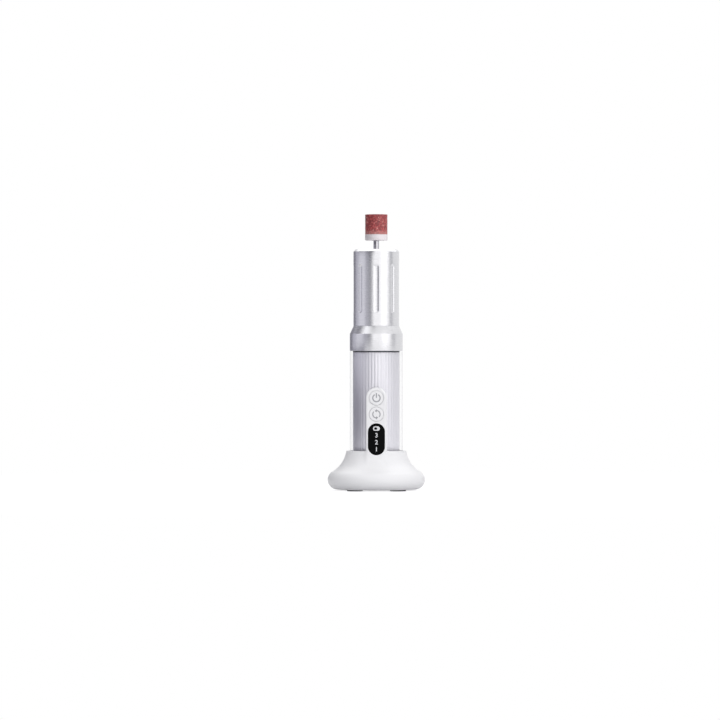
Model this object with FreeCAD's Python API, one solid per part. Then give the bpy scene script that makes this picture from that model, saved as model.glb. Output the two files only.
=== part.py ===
import FreeCAD, Part
import math
import os

from FreeCAD import Vector

# Cordless nail grinder that stands on its own flared foot. Millimetres, +Z up, the front faces -Y.
# The origin is on the ground, in the axis of the tube.

# Foot: white housing with a bulging edge and a concave flare up to its rim
FOOT_PAD_D = 9.0
FOOT_PAD_X = 12.1
FOOT_PAD_Y = 11.0
FOOT_PAD_PROUD = 0.7
FOOT_PAD_RECESS = 0.8
BULGE_MAX_R = 27.5
BULGE_R = 5.4
RIM_Z = 22.6
RIM_WALL = 1.75
RIM_LEAN_DEG = 8.0
HOUSING_WALL = 2.2
PLATE_T = 2.0
PLATE_GAP = 0.1
PLATE_LIP = 0.5
LEDGE_LIFT = 8.3
LEDGE_T = 1.5
THROAT_R = 8.6

# Handle: clear tube outside, ribbed sleeve inside it
TUBE_OD = 30.0
TUBE_WALL = 1.75
TUBE_TOP_Z = 78.85
SOCKET_CLEAR = 0.15
SLEEVE_CLEAR = 0.1
SLEEVE_WALL = 1.5
RIB_COUNT = 45
RIB_DEPTH = 0.35
GASKET_T = 0.8
GASKET_INSET = 0.1

# Control tongue, one moulding with the foot. Heights run up from the rim
TONGUE_W = 11.8
TONGUE_PROUD = 2.6
TONGUE_EDGE_R = 0.8
TONGUE_GAP = 0.1
TONGUE_ROOT_DEPTH = 6.6
SLOT_W = 10.4
DISPLAY_RISE = 6.7
SPEED_RISE = 20.7
POWER_RISE = 29.8
DISPLAY_W = 9.5
DISPLAY_H = 17.8
WINDOW_T = 1.4
WINDOW_GAP = 0.05
WINDOW_LEDGE = 0.5
MODULE_GAP = 0.25
MODULE_BACK_GAP = 0.1

# Round keys: cap, keeping flange behind the tongue, stem
BUTTON_D = 8.0
BUTTON_GAP = 0.2
BUTTON_PLATE_T = 2.7
BUTTON_FLANGE_D = 8.8
BUTTON_FLANGE_T = 0.8
BUTTON_SEAT_GAP = 0.05
BUTTON_EDGE_R = 0.4
BUTTON_STEM_D = 3.0
BUTTON_STEM_L = 1.45
BUTTON_TRAVEL = 0.5
POCKET_CLEAR = 0.3

# Key switches and control board
SWITCH_SIDE = 6.0
SWITCH_DEPTH = 3.4
PLUNGER_R = 1.6
PLUNGER_PROUD = 0.7
PLUNGER_L = 2.0
PLUNGER_GAP = 0.05
PLUNGER_END_GAP = 0.2
BOARD_T = 1.2
BOARD_W = 14.0
BOARD_FOOT_GAP = 2.0
BOARD_HEAD_GAP = 8.85
BOARD_SCREW_X = 5.4
BOARD_SCREW_L = 3.2
SMALL_SCREW_R = 0.8
SMALL_HEAD_R = 1.4
SMALL_HEAD_H = 0.9
SCREW_GAP = 0.05

# Inner chassis, cell and its welded strips
CHASSIS_GAP = 0.15
CHASSIS_WALL = 1.6
FLOOR_T = 1.6
FLOOR_HOLE_R = 3.0
FLOOR_HOLE_Y = -3.5
MOTOR_FLOOR_HOLE_R = 6.75
RAIL_DEPTH = 2.3
RAIL_H = 3.8
RAIL_INNER_X = 4.2
SHELF_LIFT = 4.0
SHELF_T = 1.6
OPENING_HEADROOM = 1.0
CELL_D = 14.2
CELL_L = 50.0
CELL_BACK_GAP = 1.8
CELL_CLEAR = 0.1
CELL_CAP_R = 3.0
CELL_CAP_H = 1.0
RIB_T = 1.6
RIB_SHARES = (0.3, 0.7)
TAB_T = 0.3
TAB_W = 4.0
TAB_REACH = 3.0
CHASSIS_SCREW_R = 10.2
CHASSIS_SCREW_L = 5.5
CHASSIS_SCREW_ANGLES = (35.0, 145.0, 215.0, 325.0)
CHASSIS_BOSS_R = 1.8
CHASSIS_HEAD_R = 1.6
CHASSIS_HEAD_H = 1.2

# Silver head: ring with a conical shoulder, and the nose cap on top of it
COLLAR_INSET = 0.05
COLLAR_H = 9.55
SHOULDER_H = 4.4
NOSE_OD = 25.8
NOSE_H = 43.3
NOSE_WALL = 1.3
NOSE_TOP_T = 1.3
NOSE_EDGE_R = 1.2
NOSE_HOLE_R = 2.6
CUP_GAP = 0.1
GROOVE_COUNT = 8
GROOVE_W = 3.0
GROOVE_L = 27.0
GROOVE_RISE = 21.05
GROOVE_DEPTH = 0.6
SEAL_R = 5.0
SEAL_T = 1.4
SEAL_RIB_T = 1.0
SEAL_GAP = 0.12

# Motor. Heights run up from the end of its can
MOTOR_LIFT = 7.15
MOTOR_L = 26.0
MOTOR_D = 20.1
MOTOR_FLAT = 15.1
MOTOR_WALL = 0.5
MOTOR_SEAT_GAP = 0.1
BELL_T = 1.5
BELL_PLUG_T = 1.0
BUSHING_R = 3.0
BUSHING_L = 2.5
SHAFT_R = 1.15
SHAFT_TAIL = 2.4
SHAFT_RUN_GAP = 0.03
SHAFT_FIT = 0.02
CORE_R = 6.9
CORE_RISE = 5.0
CORE_L = 15.0
MAGNET_IN_R = 7.4
MAGNET_GAP = 0.05
MAGNET_HALF_ANGLE = 52.0
MAGNET_RISE = 3.5
MAGNET_L = 18.0
POLES = 3
POLE_STEM_W = 2.4
POLE_TIP_T = 1.4
POLE_GAP_W = 1.6
POLE_HUB_R = 2.6
COIL_W = 4.4
COIL_IN_R = 3.0
COIL_GAP = 0.1
COIL_OVER = 1.3
COMMUTATOR_R = 2.4
COMMUTATOR_L = 1.9
COMMUTATOR_RISE = 1.4
COMMUTATOR_SLIT = 0.25
BRUSH_W = 2.2
BRUSH_H = 1.4
BRUSH_L = 3.2
BRUSH_GAP = 0.05
TERMINAL_X = 5.0
TERMINAL_W = 2.4
TERMINAL_T = 0.4
TERMINAL_L = 3.0
BRACKET_T = 1.5
BRACKET_HOLE_R = 3.2
MOTOR_SCREW_X = 6.2
MOTOR_SCREW_L = 4.0

# Chuck on the motor shaft. Heights run up from its lower end
CHUCK_LIFT = 3.0
CHUCK_R = 4.2
CHUCK_H = 9.0
CHUCK_BORE_GAP = 0.05
COLLET_RISE = 4.6
COLLET_R = 2.6
COLLET_STRAIGHT = 6.4
COLLET_WIDE_R = 3.3
COLLET_H = 10.4
COLLET_SLIT = 0.4
COLLET_FIT = 0.03
COLLET_END_GAP = 0.6
NUT_RISE = 7.0
NUT_H = 9.2
NUT_FLATS = 10.0
NUT_LIP_T = 0.5
NUT_BORE_R = 3.5
NUT_HOLE_R = 2.0

# Sanding drum
MANDREL_R = 1.6
MANDREL_END_GAP = 0.8
MANDREL_TOP_INSET = 4.8
DRUM_GAP = 5.1
FLANGE_H = 3.3
BAND_OD = 12.7
BAND_H = 11.3
BAND_WALL = 0.85
BAND_FIT = 0.05
HUB_TOP_INSET = 0.5
HUB_FIT = 0.02
DRUM_SCREW_SUNK = 0.2
DRUM_SCREW_HEAD_R = 2.6
DRUM_SCREW_HEAD_H = 1.3
DRUM_SCREW_R = 0.9
DRUM_SCREW_L = 8.0
DRUM_SCREW_DEEP = 0.4
DRUM_SLOT_W = 0.7
DRUM_SLOT_DEPTH = 0.7

# Charging inlet at the rear of the foot
USB_RISE = 6.3
USB_W = 8.94
USB_H = 3.26
USB_L = 7.3
USB_MOUTH_INSET = 1.1
USB_WALL = 0.3
USB_GAP = 0.3
USB_TONGUE_W = 6.7
USB_TONGUE_T = 0.7
USB_TONGUE_L = 5.6
USB_DEPTH = 6.4
CHARGE_BOARD_T = 1.2
CHARGE_BOARD_W = 16.0
CHARGE_BOARD_L = 15.0
CHARGE_BOARD_OVERHANG = 3.4
CHARGE_SCREW_X = 6.2
CHARGE_SCREW_INSET = 4.0
CHARGE_SCREW_DEPTH = 3.0
CHARGE_POST_R = 1.8

# Screws of the bottom plate
BASE_SCREW_R = 1.0
BASE_HEAD_R = 1.9
BASE_HEAD_H = 1.2
BASE_HEAD_SUNK = 0.2
BASE_SCREW_AT = 17.0
BASE_SCREW_ANGLES = (-90.0, 0.0, 180.0)
BASE_BOSS_R = 2.8
BASE_HOLE_DEEP = 0.5

# Wires
WIRE_R = 0.5
WIRE_BEND = 1.0
WIRE_X = 1.5
WIRE_RUN = 3.0
WIRE_INSET = 2.0

# Sizes that follow from the ones above
BASE_Z = FOOT_PAD_PROUD
PLATE_TOP_Z = BASE_Z + PLATE_T
PLATE_R = BULGE_MAX_R - BULGE_R - PLATE_LIP - PLATE_GAP
LEDGE_Z = BASE_Z + LEDGE_LIFT
LEDGE_LOW_Z = LEDGE_Z - LEDGE_T
TUBE_R = TUBE_OD / 2
TUBE_IN_R = TUBE_R - TUBE_WALL
SOCKET_R = TUBE_R + SOCKET_CLEAR
RIM_R = SOCKET_R + RIM_WALL
SLEEVE_R = TUBE_IN_R - SLEEVE_CLEAR
SLEEVE_IN_R = SLEEVE_R - SLEEVE_WALL
SLEEVE_TOP_Z = TUBE_TOP_Z - GASKET_T
CHASSIS_R = SLEEVE_IN_R - CHASSIS_GAP
COLLAR_OD = TUBE_OD - 2 * COLLAR_INSET
COLLAR_TOP_Z = TUBE_TOP_Z + COLLAR_H + SHOULDER_H
NOSE_R = NOSE_OD / 2
NOSE_IN_R = NOSE_R - NOSE_WALL
NOSE_TOP_Z = COLLAR_TOP_Z + NOSE_H
NOSE_IN_TOP_Z = NOSE_TOP_Z - NOSE_TOP_T
GROOVE_Z = COLLAR_TOP_Z + GROOVE_RISE
MOTOR_Z = TUBE_TOP_Z + MOTOR_LIFT
MOTOR_FLOOR_Z = MOTOR_Z - BELL_T
CUP_R = NOSE_IN_R - CUP_GAP
CUP_TOP_Z = MOTOR_Z + MOTOR_L
CORE_Z = MOTOR_Z + CORE_RISE
MAGNET_Z = MOTOR_Z + MAGNET_RISE
COMMUTATOR_Z = MOTOR_Z + COMMUTATOR_RISE
CHUCK_Z = CUP_TOP_Z + CHUCK_LIFT
COLLET_Z = CHUCK_Z + COLLET_RISE
NUT_Z = CHUCK_Z + NUT_RISE
SHAFT_TOP_Z = COLLET_Z - COLLET_END_GAP
MANDREL_BOTTOM_Z = COLLET_Z + MANDREL_END_GAP
DRUM_Z = NOSE_TOP_Z + DRUM_GAP
BAND_Z = DRUM_Z + FLANGE_H
DRUM_TOP_Z = BAND_Z + BAND_H
BAND_IN_R = BAND_OD / 2 - BAND_WALL
HUB_R = BAND_IN_R - BAND_FIT
HUB_TOP_Z = DRUM_TOP_Z - HUB_TOP_INSET
DRUM_SCREW_TOP_Z = HUB_TOP_Z - DRUM_SCREW_SUNK
DRUM_SCREW_SEAT_Z = DRUM_SCREW_TOP_Z - DRUM_SCREW_HEAD_H
MANDREL_TOP_Z = DRUM_TOP_Z - MANDREL_TOP_INSET

POWER_Z = RIM_Z + POWER_RISE
SPEED_Z = RIM_Z + SPEED_RISE
DISPLAY_Z = RIM_Z + DISPLAY_RISE
FACE_Y = -(TUBE_R + TONGUE_PROUD)
TONGUE_BACK_R = TUBE_R + TONGUE_GAP
BUTTON_SEAT_Y = FACE_Y + BUTTON_PLATE_T
BUTTON_FLANGE_Y = BUTTON_SEAT_Y + BUTTON_SEAT_GAP
STEM_Y = BUTTON_FLANGE_Y + BUTTON_FLANGE_T
PLUNGER_Y = STEM_Y + BUTTON_STEM_L
PLUNGER_HOLE_DEPTH = PLUNGER_L - PLUNGER_PROUD + BUTTON_TRAVEL + PLUNGER_END_GAP
SWITCH_Y = PLUNGER_Y + PLUNGER_PROUD
BOARD_Y = SWITCH_Y + SWITCH_DEPTH
BOARD_BACK_Y = BOARD_Y + BOARD_T
BOARD_BOTTOM_Z = LEDGE_Z + BOARD_FOOT_GAP
BOARD_TOP_Z = TUBE_TOP_Z - BOARD_HEAD_GAP
RAIL_BACK_Y = BOARD_BACK_Y + RAIL_DEPTH
CHASSIS_FRONT_Y = BOARD_BACK_Y + CELL_BACK_GAP
FRONT_OPEN_TOP_Z = BOARD_TOP_Z + OPENING_HEADROOM
CELL_R = CELL_D / 2
CELL_Y = CHASSIS_FRONT_Y + CELL_R
SHELF_Z = LEDGE_Z + SHELF_LIFT
SHELF_TOP_Z = SHELF_Z + SHELF_T
CELL_Z = SHELF_TOP_Z + TAB_T
CELL_TOP_Z = CELL_Z + CELL_L
LOWER_RAIL_Z = LEDGE_Z + FLOOR_T + RAIL_H / 2
UPPER_RAIL_Z = BOARD_TOP_Z - RAIL_H / 2
USB_Z = BASE_Z + USB_RISE
USB_MOUTH_Y = BULGE_MAX_R - USB_MOUTH_INSET
CHARGE_BOARD_END_Y = USB_MOUTH_Y - CHARGE_BOARD_OVERHANG
CHARGE_BOARD_Y = CHARGE_BOARD_END_Y - CHARGE_BOARD_L
CHARGE_SCREW_Y = CHARGE_BOARD_Y + CHARGE_SCREW_INSET
CHARGE_BOARD_TOP_Z = USB_Z - USB_H / 2
CHARGE_BOARD_Z = CHARGE_BOARD_TOP_Z - CHARGE_BOARD_T
BASE_HEAD_TOP_Z = BASE_Z + BASE_HEAD_SUNK + BASE_HEAD_H

Z_AXIS = Vector(0, 0, 1)
INWARD = Vector(0, 1, 0)
FAR = 2 * DRUM_TOP_Z
EPS = 1e-6


def rod(radius, z0, z1, x=0.0, y=0.0):
    """Upright cylinder between two heights."""
    return Part.makeCylinder(radius, z1 - z0, Vector(x, y, z0), Z_AXIS)


def ring(outer_r, inner_r, z0, z1):
    """Upright ring round the tube axis."""
    return rod(outer_r, z0, z1).cut(rod(inner_r, z0 - 1, z1 + 1))


def block(x0, x1, y0, y1, z0, z1):
    """Box between two corners."""
    return Part.makeBox(x1 - x0, y1 - y0, z1 - z0, Vector(x0, y0, z0))


def disc_y(radius, y0, y1, z, x=0.0):
    """Cylinder that lies along Y."""
    return Part.makeCylinder(radius, y1 - y0, Vector(x, y0, z), INWARD)


def line(a, b):
    return Part.LineSegment(a, b).toShape()


def arc_xz(cx, cz, radius, start_deg, end_deg):
    """Arc in the XZ plane, by centre, radius and two angles."""
    angles = (start_deg, (start_deg + end_deg) / 2, end_deg)
    points = [
        Vector(cx + radius * math.cos(math.radians(a)), 0, cz + radius * math.sin(math.radians(a)))
        for a in angles
    ]
    return Part.Arc(*points).toShape()


def turned(edges):
    """Solid turned round the Z axis from a closed outline in the XZ plane."""
    face = Part.Face(Part.Wire(edges))
    return face.revolve(Vector(0, 0, 0), Z_AXIS, 360)


def turned_polygon(points):
    """Solid turned from straight runs between (radius, height) points."""
    corners = [Vector(r, 0, z) for r, z in points]
    closed = corners + corners[:1]
    return turned([line(a, b) for a, b in zip(closed, closed[1:])])


def stadium_y(width, height, z, y0, y1):
    """Upright stadium, round at both ends, that runs along Y."""
    r = width / 2
    straight = height / 2 - r
    middle = block(-r, r, y0, y1, z - straight, z + straight)
    ends = [disc_y(r, y0, y1, z + side * straight) for side in (-1, 1)]
    return middle.fuse(ends).removeSplitter()


def flat_stadium_y(width, height, z, y0, y1):
    """Stadium that lies on its long side and runs along Y."""
    r = height / 2
    straight = width / 2 - r
    middle = block(-straight, straight, y0, y1, z - r, z + r)
    ends = [disc_y(r, y0, y1, z, side * straight) for side in (-1, 1)]
    return middle.fuse(ends).removeSplitter()


def arch_y(width, top_centre_z, bottom_z, y0, y1):
    """Upright strip with a round top that runs along Y."""
    r = width / 2
    strip = block(-r, r, y0, y1, bottom_z, top_centre_z)
    return strip.fuse(disc_y(r, y0, y1, top_centre_z)).removeSplitter()


def around(shape, angle_deg):
    """Copy of a shape turned about the tube axis."""
    copy = shape.copy()
    copy.rotate(Vector(0, 0, 0), Z_AXIS, angle_deg)
    return copy


def screw_z(x, y, seat_z, shank_r, length, head_r, head_h, up):
    """Screw along Z with its head's bearing face at seat_z. up is the way that its point goes."""
    if up:
        head = rod(head_r, seat_z - head_h, seat_z, x, y)
        shank = rod(shank_r, seat_z, seat_z + length, x, y)
    else:
        head = rod(head_r, seat_z, seat_z + head_h, x, y)
        shank = rod(shank_r, seat_z - length, seat_z, x, y)
    return head.fuse(shank).removeSplitter()


def polar(radius, angle_deg):
    a = math.radians(angle_deg)
    return radius * math.cos(a), radius * math.sin(a)


def wire_along(points, radius, bend):
    """Round wire through points, with a tangent arc at each inner point."""
    edges = []
    start = points[0]
    for before, corner, after in zip(points, points[1:], points[2:]):
        back = (before - corner).normalize()
        ahead = (after - corner).normalize()
        half_turn = (math.pi - back.getAngle(ahead)) / 2
        trim = bend * math.tan(half_turn)
        arc_start = corner + back * trim
        arc_end = corner + ahead * trim
        inward = (back + ahead).normalize()
        centre = corner + inward * (bend / math.cos(half_turn))
        arc_middle = centre - inward * bend
        edges.append(line(start, arc_start))
        edges.append(Part.Arc(arc_start, arc_middle, arc_end).toShape())
        start = arc_end
    edges.append(line(start, points[-1]))
    path = Part.Wire(edges)
    section = Part.Wire(Part.makeCircle(radius, points[0], points[1] - points[0]))
    return path.makePipeShell([section], True, False)


def flare_shape():
    """Centres and radii of the foot's bulge and flare, tangent to each other, and the rim point."""
    bulge = (BULGE_MAX_R - BULGE_R, BASE_Z + BULGE_R)
    lean = math.radians(RIM_LEAN_DEG)
    to_rim = (RIM_R - bulge[0], RIM_Z - bulge[1])
    along = to_rim[0] * math.cos(lean) + to_rim[1] * math.sin(lean)
    flare_r = (to_rim[0] ** 2 + to_rim[1] ** 2 - BULGE_R**2) / (2 * (BULGE_R - along))
    flare = (RIM_R + flare_r * math.cos(lean), RIM_Z + flare_r * math.sin(lean))
    meet_deg = math.degrees(math.atan2(flare[1] - bulge[1], flare[0] - bulge[0]))
    return bulge, flare, flare_r, meet_deg


def foot_solid(inset, bottom_z, top_z, lip_r):
    """Solid of the foot's outline moved inwards by inset, cut level at top_z."""
    bulge, flare, flare_r, meet_deg = flare_shape()
    bulge_r = BULGE_R - inset
    outer_r = flare_r + inset
    top_deg = 180.0 - math.degrees(math.asin((top_z - flare[1]) / outer_r))
    low_z = bulge[1] - bulge_r
    top_r = flare[0] + outer_r * math.cos(math.radians(top_deg))
    edges = []
    if lip_r < bulge[0]:
        edges.append(line(Vector(0, 0, bottom_z), Vector(lip_r, 0, bottom_z)))
        edges.append(line(Vector(lip_r, 0, bottom_z), Vector(lip_r, 0, low_z)))
        edges.append(line(Vector(lip_r, 0, low_z), Vector(bulge[0], 0, low_z)))
        foot = Vector(0, 0, bottom_z)
    else:
        edges.append(line(Vector(0, 0, low_z), Vector(bulge[0], 0, low_z)))
        foot = Vector(0, 0, low_z)
    edges.append(arc_xz(bulge[0], bulge[1], bulge_r, -90.0, meet_deg))
    edges.append(arc_xz(flare[0], flare[1], outer_r, 180.0 + meet_deg, top_deg))
    edges.append(line(Vector(top_r, 0, top_z), Vector(0, 0, top_z)))
    edges.append(line(Vector(0, 0, top_z), foot))
    return turned(edges)


def tongue_solid():
    """Upright control strip with softened front edges, hollowed to go round the tube."""
    bottom_z = RIM_Z - TONGUE_ROOT_DEPTH
    strip = arch_y(TONGUE_W, POWER_Z, bottom_z, FACE_Y, -TUBE_IN_R + TUBE_WALL)
    front = [
        edge
        for edge in strip.Edges
        if abs(edge.BoundBox.YMax - FACE_Y) < EPS and edge.BoundBox.ZMax > bottom_z + EPS
    ]
    strip = strip.makeFillet(TONGUE_EDGE_R, front)
    return strip.cut(rod(TONGUE_BACK_R, bottom_z - 1, POWER_Z + TONGUE_W))


def base_housing():
    """White foot: bulge, flare, rim, socket for the tube, and the control tongue."""
    outer = foot_solid(0.0, BASE_Z, RIM_Z, BULGE_MAX_R)
    hollow = foot_solid(HOUSING_WALL, BASE_Z - 1, RIM_Z - HOUSING_WALL, PLATE_R + PLATE_GAP)
    kept = rod(RIM_R, LEDGE_LOW_Z, RIM_Z)
    for angle in BASE_SCREW_ANGLES:
        x, y = polar(BASE_SCREW_AT, angle)
        kept = kept.fuse(rod(BASE_BOSS_R, PLATE_TOP_Z, RIM_Z - HOUSING_WALL, x, y))
    body = outer.cut(hollow.cut(kept))
    body = body.fuse(tongue_solid())
    body = body.cut(rod(SOCKET_R, LEDGE_Z, RIM_Z + 1))
    body = body.cut(rod(THROAT_R, LEDGE_LOW_Z - 1, LEDGE_Z + 1))
    for z in (POWER_Z, SPEED_Z):
        body = body.cut(disc_y(BUTTON_D / 2 + BUTTON_GAP, FACE_Y - 1, -TUBE_IN_R, z))
        pocket_r = BUTTON_FLANGE_D / 2 + POCKET_CLEAR
        body = body.cut(disc_y(pocket_r, BUTTON_SEAT_Y, -TUBE_IN_R, z))
    window_w = DISPLAY_W + 2 * WINDOW_GAP
    window_h = DISPLAY_H + 2 * WINDOW_GAP
    body = body.cut(stadium_y(window_w, window_h, DISPLAY_Z, FACE_Y - 2, FACE_Y + WINDOW_T))
    way_w = DISPLAY_W - 2 * WINDOW_LEDGE
    way_h = DISPLAY_H - 2 * WINDOW_LEDGE
    body = body.cut(stadium_y(way_w, way_h, DISPLAY_Z, FACE_Y, -TUBE_IN_R))
    for angle in BASE_SCREW_ANGLES:
        x, y = polar(BASE_SCREW_AT, angle)
        hole_top_z = LEDGE_Z + BASE_HOLE_DEEP
        body = body.cut(rod(BASE_SCREW_R + SCREW_GAP, BASE_Z, hole_top_z, x, y))
    for angle in CHASSIS_SCREW_ANGLES:
        x, y = polar(CHASSIS_SCREW_R, angle)
        body = body.cut(rod(SMALL_SCREW_R + SCREW_GAP, LEDGE_LOW_Z - 1, LEDGE_Z + 1, x, y))
    port_y = USB_MOUTH_Y - USB_L - USB_GAP
    port = flat_stadium_y(USB_W + 2 * USB_GAP, USB_H + 2 * USB_GAP, USB_Z, port_y, FAR)
    return body.cut(port).removeSplitter()


def base_plate():
    """Bottom cover with sunk seats for the pads and screws, and posts for the charging board."""
    plate = rod(PLATE_R, BASE_Z, PLATE_TOP_Z)
    posts = [
        rod(CHARGE_POST_R, BASE_Z, CHARGE_BOARD_Z, side * CHARGE_SCREW_X, CHARGE_SCREW_Y)
        for side in (-1, 1)
    ]
    plate = plate.fuse(posts)
    for x, y in pad_places():
        plate = plate.cut(rod(FOOT_PAD_D / 2 + PLATE_GAP, 0, BASE_Z + FOOT_PAD_RECESS, x, y))
    for angle in BASE_SCREW_ANGLES:
        x, y = polar(BASE_SCREW_AT, angle)
        plate = plate.cut(rod(BASE_HEAD_R + PLATE_GAP, 0, BASE_HEAD_TOP_Z, x, y))
        plate = plate.cut(rod(BASE_SCREW_R + SCREW_GAP, 0, PLATE_TOP_Z + 1, x, y))
    for side in (-1, 1):
        hole_z = CHARGE_BOARD_TOP_Z - CHARGE_SCREW_DEPTH - SCREW_GAP
        hole_r = SMALL_SCREW_R + SCREW_GAP
        plate = plate.cut(rod(hole_r, hole_z, FAR, side * CHARGE_SCREW_X, CHARGE_SCREW_Y))
    return plate.removeSplitter()


def pad_places():
    return [(sx * FOOT_PAD_X, sy * FOOT_PAD_Y) for sx in (-1, 1) for sy in (-1, 1)]


def rubber_feet():
    top_z = BASE_Z + FOOT_PAD_RECESS
    return Part.makeCompound([rod(FOOT_PAD_D / 2, 0, top_z, x, y) for x, y in pad_places()])


def base_screws():
    screws = []
    seat_z = BASE_HEAD_TOP_Z
    length = LEDGE_Z - seat_z
    for angle in BASE_SCREW_ANGLES:
        x, y = polar(BASE_SCREW_AT, angle)
        screws.append(screw_z(x, y, seat_z, BASE_SCREW_R, length, BASE_HEAD_R, BASE_HEAD_H, True))
    return Part.makeCompound(screws)


def front_slot(top_r):
    """Cutter for the slot that lets the controls through the tube and the sleeve."""
    return arch_y(2 * top_r, POWER_Z, 0, -FAR, 0)


def clear_tube():
    tube = ring(TUBE_R, TUBE_IN_R, LEDGE_Z, TUBE_TOP_Z)
    return tube.cut(front_slot(SLOT_W / 2))


def ribbed_sleeve():
    """Sleeve whose outside is a row of upright convex ribs."""
    step = 360.0 / RIB_COUNT
    valley_r = SLEEVE_R - RIB_DEPTH
    edges = []
    for i in range(RIB_COUNT):
        spots = ((valley_r, i), (SLEEVE_R, i + 0.5), (valley_r, i + 1))
        points = [Vector(*polar(r, n * step), LEDGE_Z) for r, n in spots]
        edges.append(Part.Arc(*points).toShape())
    outside = Part.Face(Part.Wire(edges)).extrude(Vector(0, 0, SLEEVE_TOP_Z - LEDGE_Z))
    sleeve = outside.cut(rod(SLEEVE_IN_R, LEDGE_Z - 1, SLEEVE_TOP_Z + 1))
    return sleeve.cut(front_slot(SLOT_W / 2))


def sleeve_gasket():
    return ring(SLEEVE_R, SLEEVE_IN_R + GASKET_INSET, SLEEVE_TOP_Z, TUBE_TOP_Z)


def motor_outline(grow, z0, z1):
    """Round motor section with two flats, grown outwards by a gap."""
    r = MOTOR_D / 2 + grow
    flat = MOTOR_FLAT / 2 + grow
    return rod(r, z0, z1).common(block(-FAR, FAR, -flat, flat, z0, z1))


def cell_rest(z0, z1):
    """Crosswise rib of the chassis with a seat for the cell."""
    return rod(CHASSIS_R - CHASSIS_WALL / 2, z0, z1).cut(
        rod(CELL_R + CELL_CLEAR, z0 - 1, z1 + 1, 0, CELL_Y)
    )


def inner_chassis():
    """Carrier that stands on the ledge of the foot and rises to a cup round the motor."""
    lower = rod(CHASSIS_R, LEDGE_Z, TUBE_TOP_Z)
    hollow = rod(CHASSIS_R - CHASSIS_WALL, LEDGE_Z + FLOOR_T, TUBE_TOP_Z - FLOOR_T)
    shell = lower.cut(hollow)
    adds = [
        rod(CHASSIS_R - CHASSIS_WALL / 2, SHELF_Z, SHELF_TOP_Z),
        rod(CUP_R, TUBE_TOP_Z - FLOOR_T, CUP_TOP_Z),
    ]
    for share in RIB_SHARES:
        z = CELL_Z + share * CELL_L
        adds.append(cell_rest(z, z + RIB_T))
    for angle in CHASSIS_SCREW_ANGLES:
        x, y = polar(CHASSIS_SCREW_R, angle)
        boss = rod(CHASSIS_BOSS_R, LEDGE_Z, SHELF_TOP_Z, x, y)
        adds.append(boss.common(rod(CHASSIS_R, 0, CUP_TOP_Z)))
    shell = shell.fuse(adds)
    front_z0 = LEDGE_Z + FLOOR_T
    shell = shell.cut(block(-FAR, FAR, -FAR, CHASSIS_FRONT_Y, front_z0, FRONT_OPEN_TOP_Z))
    rails = []
    for side in (-1, 1):
        for z in (LOWER_RAIL_Z, UPPER_RAIL_Z):
            x0, x1 = sorted((side * RAIL_INNER_X, side * CHASSIS_R))
            rail = block(x0, x1, BOARD_BACK_Y, RAIL_BACK_Y, z - RAIL_H / 2, z + RAIL_H / 2)
            rails.append(rail.common(rod(CHASSIS_R, 0, CUP_TOP_Z)))
    shell = shell.fuse(rails)
    shell = shell.cut(motor_outline(MOTOR_SEAT_GAP, MOTOR_FLOOR_Z, CUP_TOP_Z + 1))
    shell = shell.cut(rod(MOTOR_FLOOR_HOLE_R, TUBE_TOP_Z - FLOOR_T - 1, CUP_TOP_Z))
    shell = shell.cut(rod(FLOOR_HOLE_R, LEDGE_Z - 1, LEDGE_Z + FLOOR_T, 0, FLOOR_HOLE_Y))
    for side in (-1, 1):
        for z in (LOWER_RAIL_Z, UPPER_RAIL_Z):
            reach = BOARD_Y + BOARD_SCREW_L + SCREW_GAP
            hole = disc_y(SMALL_SCREW_R + SCREW_GAP, BOARD_Y, reach, z, side * BOARD_SCREW_X)
            shell = shell.cut(hole)
    for angle in CHASSIS_SCREW_ANGLES:
        x, y = polar(CHASSIS_SCREW_R, angle)
        top_z = LEDGE_LOW_Z + CHASSIS_SCREW_L + SCREW_GAP
        shell = shell.cut(rod(SMALL_SCREW_R + SCREW_GAP, LEDGE_Z - 1, top_z, x, y))
    return shell.removeSplitter()


def chassis_screws():
    screws = []
    for angle in CHASSIS_SCREW_ANGLES:
        x, y = polar(CHASSIS_SCREW_R, angle)
        shank = (SMALL_SCREW_R, CHASSIS_SCREW_L)
        head = (CHASSIS_HEAD_R, CHASSIS_HEAD_H)
        screws.append(screw_z(x, y, LEDGE_LOW_Z, *shank, *head, True))
    return Part.makeCompound(screws)


def control_board():
    half = BOARD_W / 2
    board = block(-half, half, BOARD_Y, BOARD_BACK_Y, BOARD_BOTTOM_Z, BOARD_TOP_Z)
    for side in (-1, 1):
        for z in (LOWER_RAIL_Z, UPPER_RAIL_Z):
            hole = disc_y(SMALL_SCREW_R + SCREW_GAP, BOARD_Y - 1, 0, z, side * BOARD_SCREW_X)
            board = board.cut(hole)
    return board


def board_screws():
    screws = []
    for side in (-1, 1):
        for z in (LOWER_RAIL_Z, UPPER_RAIL_Z):
            x = side * BOARD_SCREW_X
            head = disc_y(SMALL_HEAD_R, BOARD_Y - SMALL_HEAD_H, BOARD_Y, z, x)
            shank = disc_y(SMALL_SCREW_R, BOARD_Y, BOARD_Y + BOARD_SCREW_L, z, x)
            screws.append(head.fuse(shank).removeSplitter())
    return Part.makeCompound(screws)


def display_window():
    return stadium_y(DISPLAY_W, DISPLAY_H, DISPLAY_Z, FACE_Y, FACE_Y + WINDOW_T)


def display_module():
    inset = WINDOW_LEDGE + MODULE_GAP
    front_y = FACE_Y + WINDOW_T + MODULE_BACK_GAP
    size = (DISPLAY_W - 2 * inset, DISPLAY_H - 2 * inset)
    return stadium_y(*size, DISPLAY_Z, front_y, BOARD_Y)


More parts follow.
